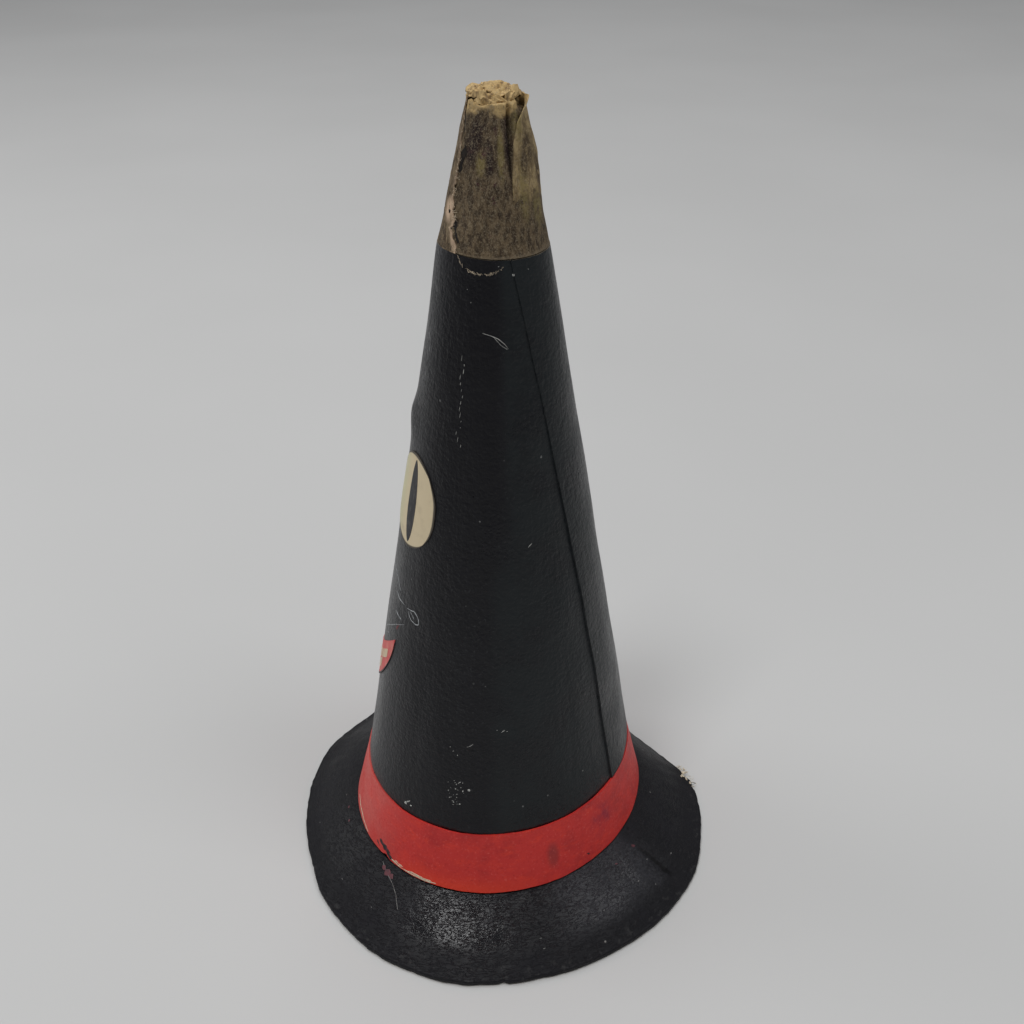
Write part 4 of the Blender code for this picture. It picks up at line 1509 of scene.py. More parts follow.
@dataclass
class Brim:
    """Drooping lacquered ring with its crack, its crease, its smears and its torn back edge."""

    around: int = 420
    across: int = 150
    ring_radius: float = 59.0 * MM
    rubbed_specks: int = 14
    torn_fibres: int = 26
    # Stations of the section: share of the way round it, from the rim over the top and under
    top_from: float = 0.06
    top_to: float = 0.62
    root_to: float = 0.66
    under_to: float = 0.95
    # Crack: turn_deg, radius_mm
    crack: Pairs = (
        (54, 51.8), (58.8, 53.6), (62.5, 55.0), (65.4, 56.8), (68.4, 59.9), (71.7, 64.2),
        (74.3, 69.8),
    )
    # Red smears: turn_deg, radius_mm, size_mm
    smears: Triples = (
        (56.0, 52.7, 1.4), (58.4, 53.0, 2.0), (60.6, 53.3, 1.3), (24, 52.5, 0.8), (30, 53.5, 0.6),
        (146, 52.2, 0.7), (156.5, 52.4, 1.1),
    )
    # Torn tabs of the back edge: turn_deg, radius_mm, length_deg, width_mm
    tabs: Quads = (
        (195.4, 68.6, 0.9, 0.5), (196.8, 67.6, 1.6, 0.6), (198.3, 67.0, 1.9, 0.8),
        (199.8, 67.4, 1.5, 0.6), (201.0, 68.4, 0.8, 0.4), (197.5, 66.0, 0.8, 0.35),
    )

    def _shape(self, points: Array) -> Array:
        """New places of the ring's vertices: a flat drooping section.

        Args:
            points: Vertices as added, one row each.

        Returns:
            Their new places.
        """
        turn = turns_of(points)
        ring = np.hypot(points[:, 0], points[:, 1]) - self.ring_radius
        share = (np.degrees(np.arctan2(points[:, 2], ring)) % 360.0) / 360.0
        share = np.where(share > 1.0 - 1e-6, 0.0, share)
        root = BRIM.root(turn)
        edge = BRIM.edge(turn) - BRIM.rim_round
        slope = edge - root
        foot = root - CONE.wall
        step = root - CONE.band_thickness + CONE.gap
        out = 1.0 - (share - self.top_from) / (self.top_to - self.top_from)
        out = np.clip(out, 0.0, 1.0)
        top_radius = root + out * slope
        top_z = BRIM.top(out, top_radius, turn)
        back = 0.1 + 0.62 * (share - self.root_to) / (self.under_to - self.root_to)
        back = np.clip(back, 0.1, 0.72)
        under_radius = root + back * slope
        under_z = BRIM.top(back, under_radius, turn) - BRIM.thickness
        radius, z = top_radius, top_z
        inner = (share > self.top_to) & (share <= self.root_to)
        along = (share - self.top_to) / (self.root_to - self.top_to)
        keys = (0.0, 0.1, 0.2, 0.6, 1.0)
        heights = (BRIM.root_z, BRIM.root_z, BRIM.shelf_z, BRIM.shelf_z, BRIM.shelf_z - BRIM.thickness)
        parts = np.stack((root, step + 0.1 * MM, step, foot, foot))
        lane = np.clip(np.searchsorted(keys, along, side="right") - 1, 0, 3)
        start, end = np.take(keys, lane), np.take(keys, lane + 1)
        mixed = np.clip((along - start) / (end - start), 0.0, 1.0)
        rows = np.arange(len(turn))
        inner_radius = parts[lane, rows] * (1.0 - mixed) + parts[lane + 1, rows] * mixed
        inner_z = np.take(heights, lane) * (1.0 - mixed) + np.take(heights, lane + 1) * mixed
        radius, z = np.where(inner, inner_radius, radius), np.where(inner, inner_z, z)
        under = (share > self.root_to) & (share <= self.under_to)
        radius, z = np.where(under, under_radius, radius), np.where(under, under_z, z)
        flat = share > self.under_to
        run = (share - self.under_to) / (1.0 - self.under_to)
        flat_radius = edge - BRIM.rim_flat * (1.0 - smooth(0.0, 0.6, run))
        flat_z = np.where(run < 0.6, 0.0, BRIM.rim_round * (run - 0.6) / 0.4)
        flat_radius = np.where(run < 0.6, flat_radius, edge + BRIM.rim_round * (run - 0.6) / 0.4)
        radius, z = np.where(flat, flat_radius, radius), np.where(flat, flat_z, z)
        rim = share < self.top_from
        rise = share / self.top_from
        angle = np.radians(90.0 * np.clip((rise - 0.5) / 0.5, 0.0, 1.0))
        rim_radius = edge + BRIM.rim_round * np.cos(angle)
        low, high = BRIM.rim_round, BRIM.edge_z - BRIM.rim_round
        rim_z = np.where(rise < 0.5, low + (high - low) * rise / 0.5, high + BRIM.rim_round * np.sin(angle))
        radius, z = np.where(rim, rim_radius, radius), np.where(rim, rim_z, z)
        return place(radius, turn, z)

    def _ring(self) -> None:
        """Shape the ring."""
        ring = WORKSHOP.ring("brim_ring", self.around, self.across, self.ring_radius, 9 * MM)
        WORKSHOP.warp(ring, self._shape)
        outside, under = BrimLacquer().material(), bpy.data.materials["bare_board"]
        WORKSHOP.dress(ring, (outside, under))
        WORKSHOP.alone(ring)
        bpy.context.tool_settings.mesh_select_mode = (False, False, True)
        bpy.ops.object.mode_set(mode="EDIT")
        mesh = bmesh.from_edit_mesh(ring.data)
        for face in mesh.faces:
            middle = face.calc_center_median()
            radius = math.hypot(middle.x, middle.y)
            face.select_set(face.normal.z < -0.25 or radius < CONE.band_foot_radius - BRIM.thickness)
        bmesh.update_edit_mesh(ring.data)
        ring.active_material_index = 1
        bpy.ops.object.material_slot_assign()
        bpy.ops.object.mode_set(mode="OBJECT")
        WORKSHOP.finish(ring, Slot.BLACK, (outside, under), ("brim",), sharp=38.0)

    def _radius(self, radius: Array) -> Array:
        """Radius at a radius, for strokes on the brim."""
        return np.asarray(radius, float)

    def _stroke(self, name: str, path: Pairs, width: float, height: float, ragged: float,
                seed: float) -> Piece:
        """Thin stroke on the brim's upper face.

        Args:
            name: Name of the piece.
            path: Turn in degrees and radius in mm along the stroke.
            width: Its width in mm.
            height: Height of its middle off the paper, in mm.
            ragged: Share by which its width varies.
            seed: Number that picks the unevenness.

        Returns:
            The new piece.
        """
        rows = [(turn, radius * MM) for turn, radius in path]
        return WORKSHOP.ribbon(name, BRIM.on_top, rows, width * MM, height * MM, self._radius, ragged, seed)

    def _marks(self) -> None:
        """Lay the crack's pale line and the rubbed specks."""
        pieces = [self._stroke(f"crack_{number}", self.crack[start:end + 1], 0.10, 0.04, 0.8, number + 3.0)
                  for number, (start, end) in enumerate(((0, 2), (2, 3), (3, 4)))]
        shift = np.random.default_rng(19)
        for number in range(self.rubbed_specks):
            turn, radius = shift.uniform(0.0, 360.0), shift.uniform(52.0, 65.4)
            length = shift.uniform(0.2, 0.7)
            path = ((turn, radius), (turn + length, radius + shift.uniform(-0.3, 0.3)))
            pieces.append(self._stroke(f"rub_{number}", path, 0.18, 0.04, 0.7, number + 90.0))
        chalk = PlainPaint("pale_brim_scuff", (0.24, 0.235, 0.225), (0.06, 0.06, 0.06), 0.8, 900.0, 0.9)
        WORKSHOP.paint(pieces, "brim_marks", Slot.CREAM, chalk, 0.04 * MM)

    def _smears(self) -> None:
        """Lay the small red smears beside the crack."""
        pieces = []
        for number, (turn, radius, size) in enumerate(self.smears):
            path = ((turn - 0.7 * size, radius), (turn + 0.7 * size, radius + 0.5))
            pieces.append(self._stroke(f"smear_{number}", path, 0.7 * size, 0.05, 0.9, number + 120.0))
        red = PlainPaint("dull_red_smear", (0.10, 0.020, 0.028), (0.02, 0.010, 0.014), 0.6, 800.0)
        WORKSHOP.paint(pieces, "brim_red_smears", Slot.RED, red, 0.04 * MM)

    def _torn_edge(self) -> None:
        """Set pale torn fibres and a dark strand at the back edge."""
        shift = np.random.default_rng(31)
        pale, dark = [], []
        for number in range(self.torn_fibres):
            turn = shift.uniform(194.0, 203.0)
            start = float(BRIM.edge(np.array([turn]))[0])
            length = shift.uniform(0.8, 2.6)
            base = Vector(place(start - 0.9 * MM, turn, 1.7 * MM))
            lean = shift.uniform(-9.0, 9.0)
            middle = Vector(place(start + 0.35 * length * MM, turn + 0.4 * lean / 9.0, 2.2 * MM))
            tip = Vector(place(start + length * 0.8 * MM, turn + lean / 6.0,
                               shift.uniform(1.2, 3.2) * MM))
            group = dark if number % 9 == 0 else pale
            group.append(WORKSHOP.thread(f"fibre_{number}", (base, middle, tip),
                                         shift.uniform(0.09, 0.2) * MM))
        for number, (turn, radius, length, width) in enumerate(self.tabs):
            path = ((turn - 0.4 * length, radius + 0.2), (turn + 0.4 * length, radius))
            pale.append(self._stroke(f"tab_{number}", path, width, 0.25, 0.9, number + 60.0))
            WORKSHOP.thicken(pale[-1], 0.2 * MM)
        cream = PlainPaint("torn_cream_fibre", (0.62, 0.55, 0.42), (0.38, 0.32, 0.23), 0.85, 900.0)
        WORKSHOP.paint(pale, "brim_torn_fibres", Slot.CREAM, cream)
        soot = PlainPaint("torn_dark_strand", (0.02, 0.02, 0.022), (0.05, 0.048, 0.046), 0.6, 900.0)
        WORKSHOP.paint(dark, "brim_torn_strands", Slot.BLACK, soot)

    def build(self) -> None:
        """Build the brim."""
        self._ring()
        self._marks()
        self._smears()
        self._torn_edge()


@dataclass
class Band:
    """Thin red paper band, with a chipped foot that shows cream."""

    columns: int = 360
    cuts: tuple[int, int] = (3, 4)
    seam_width: float = 0.3
    # Bare cream spots and dark notches of the foot: width_mm, then turn_deg and z_mm along each
    chips: Strokes = (
        (0.55, ((24, 17.0), (30, 15.9), (36, 15.0), (41, 14.6))),
        (0.55, ((57, 14.9), (62, 14.5), (68, 14.4), (73, 14.4), (77, 14.5))),
        (0.45, ((66, 15.0), (71, 14.9), (75, 14.9))),
        (0.35, ((59, 15.4), (63, 15.1))),
    )
    notches: Strokes = (
        (1.5, ((49.2, 17.8), (52.5, 16.5), (55.0, 15.6), (57.6, 15.0))),
        (0.6, ((51.4, 17.6), (53.6, 17.0), (56.4, 16.2))),
        (0.6, ((47.6, 16.4), (49.6, 15.2))),
        (0.4, ((141.5, 34.0), (142.5, 33.2))),
        (0.5, ((137.2, 17.2), (138.6, 16.4))),
    )

    def _shape(self, points: Array) -> Array:
        """New places of the band's vertices, with an uneven upper and lower edge.

        Args:
            points: Vertices as added, one row each.

        Returns:
            Their new places.
        """
        index = column_of(points, self.columns)
        share = (points[:, 2] - CONE.band_bottom_z) / (CONE.band_top_z - CONE.band_bottom_z)
        rolled = CONE.seam_at(24 * MM) + index * (360.0 - self.seam_width) / (self.columns - 1)
        rim = place(44 * MM, rolled, 0.0)
        low = 0.10 * lumps(rim, 6 * MM, 51.0) + 0.06 * lumps(rim, 1.6 * MM, 52.0) + 0.1
        chip = 0.9 * bell(turn_between(rolled, 54.0), 1.3)
        high = -0.1 + 0.10 * lumps(rim, 8 * MM, 53.0) + 0.05 * lumps(rim, 1.4 * MM, 54.0)
        start = CONE.band_bottom_z + (low + chip) * MM
        end = CONE.band_top_z + high * MM
        z = start + (end - start) * share
        lift = 0.12 * MM * bell(share - 1.0, 0.08) * (0.5 + 0.5 * lumps(rim, 11 * MM, 55.0))
        return place(CONE.band(z, rolled) + lift, rolled, z)

    def build(self) -> None:
        """Build the band and its chipped foot."""
        ring = WORKSHOP.tube("band_ring", self.columns, self.cuts, (48 * MM, 44 * MM),
                             (CONE.band_bottom_z, CONE.band_top_z))
        WORKSHOP.warp(ring, self._shape)
        WORKSHOP.cut_paper(ring, Slot.RED, RedBandPaper().material(), CONE.band_thickness, ("band",), 38.0)
        chips = WORKSHOP.strokes("chip", CONE.on_band, self.chips, 0.07 * MM, CONE.radius, 0.9, 140.0)
        cream = PlainPaint("bare_cream_foot", (0.66, 0.56, 0.42), (0.45, 0.22, 0.13), 0.7, 900.0, 0.7)
        WORKSHOP.paint(chips, "band_bare_foot", Slot.CREAM, cream, 0.05 * MM)
        notches = WORKSHOP.strokes("notch", CONE.on_band, self.notches, 0.06 * MM, CONE.radius, 0.9, 160.0)
        soot = PlainPaint("black_paint_smear", (0.010, 0.009, 0.011), (0.11, 0.016, 0.026), 0.4, 900.0, 0.9)
        WORKSHOP.paint(notches, "band_dark_notch", Slot.BLACK, soot, 0.05 * MM)


@dataclass
class Peak:
    """Kraft tip: folded wall, overlapping flap, torn strip, crumpled top, cracks and fibres."""

    columns: int = 228
    cuts: tuple[int, int] = (9, 12)
    wall_thickness: float = 1.2 * MM
    wall_height: float = 50 * MM
    lip_radius: float = 7.15 * MM
    # Section of the tip: share of the way up, radius_mm, z_mm (from the spigot to the middle of the top)
    section: Triples = (
        (0.0, 13.95, 190.0), (0.05, 11.75, 203.1), (0.06, 11.8, 203.3), (0.075, 14.15, 203.35),
        (0.70, 7.05, 236.2), (0.73, 6.7, 237.0), (0.76, 6.0, 237.3), (0.79, 5.2, 236.7),
        (0.85, 4.5, 238.6), (0.91, 3.2, 239.9), (0.96, 1.6, 239.6), (1.0, 0.12, 239.3),
    )
    flap_foot_mm: float = 205.0
    flap_height_mm: float = 33.8
    flap_end: float = 216.0
    strip_foot_mm: float = 204.1
    strip_height_mm: float = 34.9
    strip_end: float = -22.0
    arc_fibres: int = 30
    strip_fibres: int = 34
    # Left edge of the flap, right edge of the torn strip: z_mm, turn_deg
    flap_edge: Pairs = (
        (204.0, 123.6), (219.0, 124.2), (225.0, 125.4), (229.5, 129.2), (233.5, 136.5),
        (236.0, 151.0), (238.4, 176.0), (240.6, 189.0),
    )
    strip_edge: Pairs = (
        (203.4, 59.0), (206.0, 57.5), (209.6, 48.0), (211.3, 52.0), (213.0, 51.0), (214.8, 49.0),
        (216.4, 46.0), (223.0, 46.2), (228.4, 47.0), (232.4, 39.0), (236.5, 29.0), (239.0, 22.0),
    )
    # Painted shade in the tears beside the strip and in its small hole: width_mm, then turn_deg and z_mm
    # along each
    tears: Strokes = (
        (1.05, ((63.5, 204.9), (60.0, 207.2), (54.5, 209.8), (53.5, 211.6))),
        (0.95, ((50.0, 222.4), (50.5, 224.5), (52.5, 226.4), (53.5, 228.6))),
        (0.50, ((48.0, 230.4), (44.0, 232.6), (38.0, 234.6))),
    )
    hole: Strokes = ((0.60, ((39.4, 213.4), (41.4, 212.7))),)
    # Arc of fibres on the crown under the tip: turn_deg, z_mm
    arc: Pairs = (
        (62.0, 203.9), (66.0, 202.3), (71.0, 201.1), (79.0, 200.4), (87.0, 200.0), (95.0, 200.0),
        (102.0, 200.6), (108.5, 201.4), (112.0, 202.2),
    )
    # Wads of the top: turn_deg, radius_mm, z_mm, half_length_mm, half_width_mm, tilt_deg, spin_deg
    wads: Rows = (
        (40.0, 4.6, 239.9, 3.4, 2.0, 24.0, 12.0), (84.0, 4.9, 238.7, 3.3, 1.7, 36.0, 0.0),
        (118.0, 4.8, 238.8, 2.8, 1.6, 30.0, -14.0), (150.0, 4.6, 239.8, 2.6, 1.6, 30.0, 22.0),
        (110.0, 1.8, 240.3, 3.0, 1.4, 8.0, 65.0), (185.0, 5.0, 239.6, 2.4, 1.4, 34.0, -22.0),
        (230.0, 4.4, 239.8, 3.2, 2.0, 28.0, 15.0), (290.0, 4.2, 240.0, 3.2, 2.0, 26.0, -20.0),
        (340.0, 4.6, 239.8, 3.0, 1.9, 30.0, 10.0), (10.0, 1.4, 240.7, 2.8, 1.5, 8.0, 100.0),
        (14.0, 5.3, 240.3, 2.3, 1.6, 22.0, 8.0), (62.0, 5.3, 239.9, 2.2, 1.3, 26.0, -10.0),
        (172.0, 4.9, 240.4, 1.9, 1.2, 20.0, 12.0),
    )

    def _shape(self, points: Array) -> Array:
        """New places of the wall's vertices.

        Args:
            points: Vertices as added, one row each.

        Returns:
            Their new places.
        """
        turn = turns_of(points)
        share = (points[:, 2] - PEAK.spigot_z) / self.wall_height
        radius = line_table(self.section, share) * MM
        z = line_table(self.section, share, 2) * MM
        on_wall = (share > 0.0755) & (share < 0.70)
        radius = np.where(on_wall, PEAK.wall(z, turn), radius)
        folded = PEAK.fold(np.full_like(z, PEAK.lip_z), turn) * (radius / self.lip_radius)
        joint = smooth(192 * MM, CONE.top_z, z) * (1.0 - smooth(PEAK.shoulder_z, 212 * MM, z))
        z = z + CONE.rise(turn) * joint
        over = smooth(0.68, 0.72, share)
        radius = np.where(share >= 0.70, np.maximum(radius - 0.7 * folded, 0.1 * MM), radius)
        flat = place(radius, turn, z)
        shift = np.stack([lumps(flat, 3.0 * MM, seed) for seed in (61.0, 62.0, 63.0)], axis=-1)
        fine = np.stack([lumps(flat, 1.3 * MM, seed) for seed in (64.0, 65.0, 66.0)], axis=-1)
        ridge = 1.0 - 2.0 * np.abs(lumps(flat, 4.6 * MM, 67.0))
        flat = flat + over[:, None] * MM * (0.55 * shift + 0.16 * fine)
        flat[:, 2] += over * MM * 0.8 * ridge
        return PEAK.leaning(flat)

    def _wall(self, kraft: Material) -> None:
        """Fold the wall and gather its top.

        Args:
            kraft: Material of the kraft paper.
        """
        wall = WORKSHOP.tube("peak_wall", self.columns, self.cuts, (14 * MM, 3 * MM),
                             (PEAK.spigot_z, PEAK.spigot_z + self.wall_height))
        WORKSHOP.warp(wall, self._shape)
        WORKSHOP.alone(wall)
        bpy.context.tool_settings.mesh_select_mode = (True, False, False)
        bpy.ops.object.mode_set(mode="EDIT")
        mesh = bmesh.from_edit_mesh(wall.data)
        top = [edge for edge in mesh.edges if edge.is_boundary and edge.verts[0].co.z > 220 * MM]
        for vert in mesh.verts:
            vert.select_set(False)
        for edge in top:
            for vert in edge.verts:
                vert.select_set(True)
        bmesh.update_edit_mesh(wall.data)
        bpy.ops.mesh.merge(type="CENTER")
        bpy.ops.object.mode_set(mode="OBJECT")
        WORKSHOP.cut_paper(wall, Slot.KRAFT, kraft, self.wall_thickness, ("peak",), 50.0)

    def _flap(self) -> None:
        """Lay the flap that wraps over the right-hand side."""

        def lay(s: Array, t: Array) -> Array:
            """Points of the sheet.

            Args:
                s: Places across, -1 to 1.
                t: Places up, -1 to 1.

            Returns:
                The points.
            """
            z = (self.flap_foot_mm + (t + 1.0) / 2.0 * self.flap_height_mm) * MM
            start = line_table(self.flap_edge, z / MM) + 0.5 * lumps(along_z(z), 1.8 * MM, 71.0)
            turn = start + (self.flap_end - start) * (s + 1.0) / 2.0
            near = bell((s + 1.0), 0.35)
            rise = smooth(212 * MM, 219 * MM, z)
            lift = -0.35 + 0.7 * rise + near * rise * (0.3 + 0.7 * smooth(226 * MM, 237 * MM, z))
            lift = lift - 0.9 * smooth(0.45, 1.0, s)
            lift = lift + 0.45 * bell(z - 225.5 * MM, 4.5 * MM) * smooth(150.0, 178.0, turn)
            rough = 0.12 * lumps(place(9 * MM, turn, z), 3.0 * MM, 72.0)
            tip = 0.2 * bell(turn_between(turn, 188.0), 16.0) * smooth(236 * MM, 240.5 * MM, z)
            radius = PEAK.smooth_wall(z) + (lift + rough + tip) * MM
            return PEAK.leaning(place(radius, turn, z))

        flap = WORKSHOP.sheet("peak_flap", 60, 80, lay)
        paper = KraftPaper("kraft_flap", (0.125, 0.086, 0.044), (0.37, 0.28, 0.145), valley=0.0, lift=0.10)
        WORKSHOP.cut_paper(flap, Slot.KRAFT, paper.material(), 0.35 * MM, sharp=50.0)

    def _strip(self) -> None:
        """Lay the torn strip on the left-hand side."""

        def lay(s: Array, t: Array) -> Array:
            """Points of the sheet.

            Args:
                s: Places across, -1 to 1.
                t: Places up, -1 to 1.

            Returns:
                The points.
            """
            z = (self.strip_foot_mm + (t + 1.0) / 2.0 * self.strip_height_mm) * MM
            line = along_z(z)
            end = line_table(self.strip_edge, z / MM)
            end = end + 2.4 * lumps(line, 1.5 * MM, 81.0) + 1.6 * lumps(line, 0.7 * MM, 82.0)
            turn = self.strip_end + (end - self.strip_end) * (s + 1.0) / 2.0
            lift = -0.45 + 0.42 * smooth(-0.8, -0.1, s) + 0.2 * smooth(0.1, 0.6, s)
            lift = lift + 0.22 * smooth(0.75, 1.0, s)
            rough = 0.12 * lumps(place(9 * MM, turn, z), 1.8 * MM, 83.0)
            bridge = np.maximum(PEAK.fold(z, turn), 0.0) * 0.6
            radius = PEAK.wall(z, turn) + bridge + (lift + rough) * MM
            return PEAK.leaning(place(radius, turn, z))

        strip = WORKSHOP.sheet("peak_torn_strip", 44, 110, lay)
        WORKSHOP.cut_paper(strip, Slot.KRAFT, TornEdgePaper().material(), 0.3 * MM, sharp=50.0)

    def _crumpled_top(self) -> None:
        """Crumple the paper wads of the top."""
        pieces = []
        for number, (turn, radius, z, half_length, half_width, tilt, spin) in enumerate(self.wads):
            centre = Vector(place(radius * MM, turn, z * MM)) + Vector(place(PEAK.lean, PEAK.lean_turn, 0.0))
            round_axis, lean, twist = (Matrix.Rotation(math.radians(angle), 3, axis)
                                       for angle, axis in ((turn, "Z"), (tilt, "X"), (spin, "Z")))
            turned = np.array(round_axis @ lean @ twist)
            seed = 200.0 + 7.0 * number

            def lay(s: Array, t: Array) -> Array:
                """Points of the sheet.

                Args:
                    s: Places across, -1 to 1.
                    t: Places up, -1 to 1.

                Returns:
                    The points.
                """
                line = np.stack((s * half_length, t * half_width, 0.0 * s), axis=-1) * MM
                fold = 1.0 - 2.0 * np.abs(lumps(line * (0.6, 1.3, 1.0), 2.2 * MM, seed))
                wave = lumps(line, 1.1 * MM, seed + 1.0)
                ragged = 1.0 + 0.14 * lumps(line, 0.9 * MM, seed + 2.0)
                x = s * half_length * ragged * (1.0 - 0.18 * t * t)
                y = t * half_width * ragged * (1.0 - 0.25 * s * s)
                up = 0.80 * fold + 0.20 * wave - 0.9 * np.abs(t) ** 3 - 0.6 * np.abs(s) ** 3
                local = np.stack((x, y, up), axis=-1) * MM
                return local @ turned.T + np.array(centre)

            pieces.append(WORKSHOP.sheet(f"wad_{number}", 34, 24, lay))
        wad = WORKSHOP.join(pieces, "peak_crumpled_top")
        # Its dark second tone, in streaks, is painted shade in the crumpled pits; the tan is the rubbed top.
        paper = PlainPaint("rubbed_tan_paper_pit_shade", (0.55, 0.39, 0.18), (0.12, 0.066, 0.030), 0.85, 620.0, 0.95)
        WORKSHOP.cut_paper(wad, Slot.KRAFT, paper.material(), 0.25 * MM, sharp=40.0)

    def _cracks(self) -> None:
        """Lay painted shade in the cracks beside the torn strip and in its small hole."""
        pieces = WORKSHOP.strokes("tear", PEAK.on_wall, self.tears, 0.12 * MM, PEAK.smooth_wall, 0.7, 180.0)
        pieces += WORKSHOP.strokes("hole", PEAK.on_wall, self.hole, 0.45 * MM, PEAK.smooth_wall, 0.7, 183.0)
        # Painted shade in the cracks and the hole.
        shadow = PlainPaint("crack_shade_paint", (0.010, 0.007, 0.005), (0.03, 0.02, 0.014), 0.95, 900.0)
        WORKSHOP.paint(pieces, "peak_cracks", Slot.DARK, shadow, 0.05 * MM)

    def _fibres(self) -> None:
        """Fray the pale fibres of the torn strip and of the arc on the crown."""
        shift = np.random.default_rng(53)
        pieces = []
        turns, heights = zip(*self.arc)
        last = len(self.arc) - 1
        for number in range(self.arc_fibres):
            start = shift.uniform(0.0, 0.94)
            keys = np.linspace(start, min(1.0, start + shift.uniform(0.02, 0.09)), 5)
            turn = np.interp(keys * last, range(last + 1), turns)
            z = np.interp(keys * last, range(last + 1), heights)
            z = (z + shift.uniform(-0.4, 0.4, 5)) * MM
            points = CONE.on_crown(turn, z, np.full(5, 0.06 * MM) + shift.uniform(0.0, 0.1, 5) * MM)
            pieces.append(WORKSHOP.thread(f"arc_{number}", [Vector(row) for row in points],
                                          shift.uniform(0.035, 0.085) * MM))
        for number in range(self.strip_fibres):
            z = shift.uniform(204.5, 238.0)
            turn = float(line_table(self.strip_edge, np.array([z]))[0])
            reach = shift.uniform(1.5, 7.0)
            rows_turn = np.array([turn - 3.0, turn + 0.3 * reach, turn + reach])
            rows_z = (z + np.array([0.0, shift.uniform(-0.5, 0.5), shift.uniform(-1.2, 1.2)])) * MM
            rows_up = np.array([0.4, 0.5, shift.uniform(0.1, 0.6)]) * MM
            points = PEAK.on_wall(rows_turn, rows_z, rows_up)
            pieces.append(WORKSHOP.thread(f"fray_{number}", [Vector(row) for row in points],
                                          shift.uniform(0.04, 0.09) * MM))
        cream = PlainPaint("pale_paper_fibre", (0.60, 0.50, 0.37), (0.40, 0.31, 0.20), 0.85, 900.0)
        WORKSHOP.paint(pieces, "peak_fibres", Slot.CREAM, cream)

    def build(self) -> None:
        """Build the tip."""
        kraft = KraftPaper().material()
        self._wall(kraft)
        self._flap()
        self._strip()
        self._crumpled_top()
        self._cracks()
        self._fibres()


